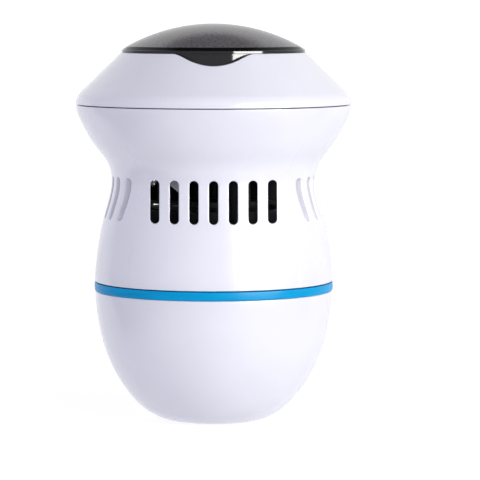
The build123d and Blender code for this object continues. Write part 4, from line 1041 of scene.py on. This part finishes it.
class CALLUS_OT_filter_foam(bpy.types.Operator):
    """Build the foam ring with its open pores"""

    bl_idname = "callus.filter_foam"
    bl_label = "Filter foam"

    def execute(self, context):
        pore = context.scene.callus_working.pore / MM
        outer, low, high = FOAM_HIGH.x, FOAM_LOW.z, FOAM_HIGH.z
        inner = 20.5
        round_r = 1.2
        section = round_corners([(outer, low, round_r), (outer, high, round_r),
                                 (inner, high, round_r), (inner, low, round_r)], 4)
        section = thin_out(np.array(section + [section[0]]), 0.7)[:-1]
        vertices, faces = turned(lambda angle: section, even_columns(260))
        middle_r, middle_z = (outer + inner) / 2, (low + high) / 2
        pitted = []
        for x, y, z in vertices:
            r = math.hypot(x, y)
            nearest = noise.voronoi(Vector((x, y, z)) * 0.62)[0][0]
            draw = pore * max(0.0, 1.0 - 1.9 * nearest)
            out_r, out_z = r - middle_r, z - middle_z
            size = math.hypot(out_r, out_z)
            scale = (r - draw * out_r / size) / r
            pitted.append((x * scale, y * scale, z - draw * out_z / size))
        sponge = new_piece("filter_sponge_foam", pitted, faces, "root", "sponge")
        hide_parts("filter_sponge")
        return {"FINISHED"}


class CALLUS_OT_stage(bpy.types.Operator):
    """Make the pale floor, the soft studio light and the camera"""

    bl_idname = "callus.stage"
    bl_label = "Stage"

    def execute(self, context):
        scene = context.scene
        stage = scene.callus_stage
        self.floor()
        self.world(scene)
        self.softbox("key softbox", (0.644, -0.679, 0.265), 5.3, (1.0, 0.985, 0.95))
        self.softbox("key glint", (0.637, -0.672, 0.264), 26.0, (1.0, 1.0, 1.0), True)
        camera = bpy.data.cameras.new("camera")
        camera.lens = stage.lens
        camera.sensor_width = 36.0
        camera.clip_start, camera.clip_end = 0.05, 20.0
        holder = bpy.data.objects.new("camera", camera)
        holder.location = (0.0, -stage.distance, stage.height)
        holder.rotation_euler = (math.pi / 2 - stage.down, 0.0, -stage.aside)
        scene.collection.objects.link(holder)
        scene.camera = holder
        scene.view_settings.view_transform = "Standard"
        scene.view_settings.look = "None"
        return {"FINISHED"}

    @staticmethod
    def floor():
        """A wide pale sheet that curves up behind the object, with a pool of painted light that it emits
        under and behind the object.
        """
        bend = np.linspace(0.1, math.pi / 2, 12)
        depth = np.concatenate([np.linspace(-2.2, 1.2, 12), 1.2 + 0.5 * np.sin(bend)])
        height = np.concatenate([np.zeros(12), 0.5 * (1 - np.cos(bend))])
        across = np.linspace(-2.6, 2.6, 14)
        vertices = [(float(x), float(y), float(z)) for y, z in zip(depth, height) for x in across]
        wide = len(across)
        faces = [(i * wide + j, i * wide + j + 1, (i + 1) * wide + j + 1, (i + 1) * wide + j)
                 for i in range(len(depth) - 1) for j in range(wide - 1)]
        mesh = bpy.data.meshes.new("paper floor")
        mesh.from_pydata(vertices, [], faces)
        mesh.polygons.foreach_set("use_smooth", [True] * len(mesh.polygons))
        floor = bpy.data.objects.new("paper_floor", mesh)
        bpy.context.scene.collection.objects.link(floor)
        f = Finish("white paper")
        f.colour(f.tones(f.cloud(6.0, 2.0), [(0.3, (0.55, 0.55, 0.56)), (0.7, (0.58, 0.58, 0.59))]))
        # Painted light: the paper emits light in a pool under and behind the object.
        f.set(Roughness=0.9, Specular_IOR_Level=0.0, Emission_Strength=0.665)
        f.links.new(CALLUS_OT_stage.painted_light_pool(f), f.shader.inputs["Emission Color"])
        mesh.materials.append(f.material)
        floor.visible_diffuse = False  # the room's lower half stands in for the paper's bounce

    @staticmethod
    def painted_light_pool(f):
        """Painted light: the part of the paper that emits light, under the object, widening behind it, with
        soft edges.
        """
        apart = f.nodes.new("ShaderNodeSeparateXYZ")
        f.links.new(f.place, apart.inputs[0])

        def sums(operation, first, second=None):
            node = f.nodes.new("ShaderNodeMath")
            node.operation = operation
            for socket, value in zip(node.inputs, (first, second)):
                if isinstance(value, float):
                    socket.default_value = value
                elif value is not None:
                    f.links.new(value, socket)
            return node.outputs[0]

        from_middle = sums("ABSOLUTE", sums("SUBTRACT", apart.outputs["X"], 0.03))
        widening = sums("MAXIMUM", sums("MULTIPLY", apart.outputs["Y"], 1.6), 0.0)
        inside = f.between(sums("SUBTRACT", from_middle, widening), 0.23, 0.16, 0.0, 1.0)
        ahead = f.between(apart.outputs["Y"], -0.25, -0.18, 0.0, 1.0)
        return sums("MULTIPLY", inside, ahead)

    @staticmethod
    def world(scene):
        """Soft room light: a pale room with a dark flag hung above the object."""
        world = bpy.data.worlds.new("studio")
        world.use_nodes = True
        nodes, links = world.node_tree.nodes, world.node_tree.links
        way = nodes.new("ShaderNodeTexCoord").outputs["Generated"]

        def towards(direction, low, high):
            """A ramp from 0 to 1 as the way looked comes close to a direction."""
            dot = nodes.new("ShaderNodeVectorMath")
            dot.operation = "DOT_PRODUCT"
            dot.inputs[1].default_value = Vector(direction).normalized()
            links.new(way, dot.inputs[0])
            ramp = nodes.new("ShaderNodeMapRange")
            ramp.inputs["From Min"].default_value = low
            ramp.inputs["From Max"].default_value = high
            links.new(dot.outputs["Value"], ramp.inputs["Value"])
            return ramp.outputs["Result"]

        def mixed(amount, first, second):
            mix = nodes.new("ShaderNodeMix")
            mix.data_type = "RGBA"
            links.new(amount, mix.inputs[0])
            for socket, value in ((mix.inputs[6], first), (mix.inputs[7], second)):
                if isinstance(value, tuple):
                    socket.default_value = value
                else:
                    links.new(value, socket)
            return mix.outputs[2]

        room = mixed(towards((1.0, -0.35, 0.0), -0.9, 0.9), (0.705, 0.71, 0.83, 1.0), (0.92, 0.92, 0.94, 1.0))
        ceiling = mixed(towards((0.0, 0.0, 1.0), 0.2, 0.9), room, (0.53, 0.53, 0.58, 1.0))
        behind = mixed(towards((0.0, 1.0, 0.1), 0.45, 0.75), ceiling, (1.0, 1.0, 1.0, 1.0))
        below = mixed(towards((0.0, 0.0, -1.0), 0.0, 0.5), behind, (0.62, 0.62, 0.68, 1.0))
        flag = below
        for rise, wide in ((54.0, 17.0), (74.0, 22.0)):
            rise, wide = math.radians(rise), math.radians(wide)
            facing = towards((0.0, math.cos(rise), math.sin(rise)), math.cos(wide), math.cos(wide * 0.82))
            flag = mixed(facing, flag, (0.12, 0.12, 0.13, 1.0))
        links.new(flag, nodes["Background"].inputs["Color"])
        scene.world = world

    @staticmethod
    def softbox(name, place, power, colour, glint=False):
        """A soft rectangular light that faces the object; a glint shows only in reflections."""
        target = Vector((0.0, 0.0, 0.10))
        light = bpy.data.lights.new(name, "AREA")
        light.shape = "RECTANGLE"
        light.size, light.size_y = 0.64, 0.62
        light.energy = power
        light.color = colour
        lamp = bpy.data.objects.new(name, light)
        lamp.location = place
        lamp.visible_diffuse = not glint
        lamp.rotation_euler = (target - Vector(place)).to_track_quat("-Z", "Y").to_euler()
        bpy.context.scene.collection.objects.link(lamp)


class CALLUS_PT_panel(bpy.types.Panel):
    """Lists the pieces and the sizes that a user may change"""

    bl_idname = "CALLUS_PT_panel"
    bl_label = "Callus remover"
    bl_space_type = "VIEW_3D"
    bl_region_type = "UI"
    bl_category = "Callus remover"

    def draw(self, context):
        for operator in OPERATORS:
            self.layout.operator(operator.bl_idname)
        for attribute, group in SETTINGS:
            box = self.layout.box()
            for name in group.__annotations__:
                box.prop(getattr(context.scene, attribute), name)


SETTINGS = (
    ("callus_casing", CasingSettings), ("callus_band", BandSettings), ("callus_head", HeadSettings),
    ("callus_lid", LidSettings), ("callus_working", WorkingSettings), ("callus_stage", StageSettings),
)
OPERATORS = (
    CALLUS_OT_stage, CALLUS_OT_finishes, CALLUS_OT_lower_shell, CALLUS_OT_band, CALLUS_OT_body_shell,
    CALLUS_OT_head_cover, CALLUS_OT_lid, CALLUS_OT_abrasive_disc, CALLUS_OT_filter_foam,
)


def register():
    for attribute, group in SETTINGS:
        bpy.utils.register_class(group)
        setattr(bpy.types.Scene, attribute, PointerProperty(type=group))
    for operator in OPERATORS:
        bpy.utils.register_class(operator)
    bpy.utils.register_class(CALLUS_PT_panel)


def unregister():
    bpy.utils.unregister_class(CALLUS_PT_panel)
    for operator in reversed(OPERATORS):
        bpy.utils.unregister_class(operator)
    for attribute, group in reversed(SETTINGS):
        delattr(bpy.types.Scene, attribute)
        bpy.utils.unregister_class(group)


def main():
    register()
    bpy.ops.callus.stage()
    bpy.ops.callus.finishes()
    bpy.ops.callus.lower_shell()
    bpy.ops.callus.band()
    bpy.ops.callus.body_shell()
    bpy.ops.callus.head_cover()
    bpy.ops.callus.lid()
    bpy.ops.callus.abrasive_disc()
    bpy.ops.callus.filter_foam()


if __name__ == "__main__":
    main()
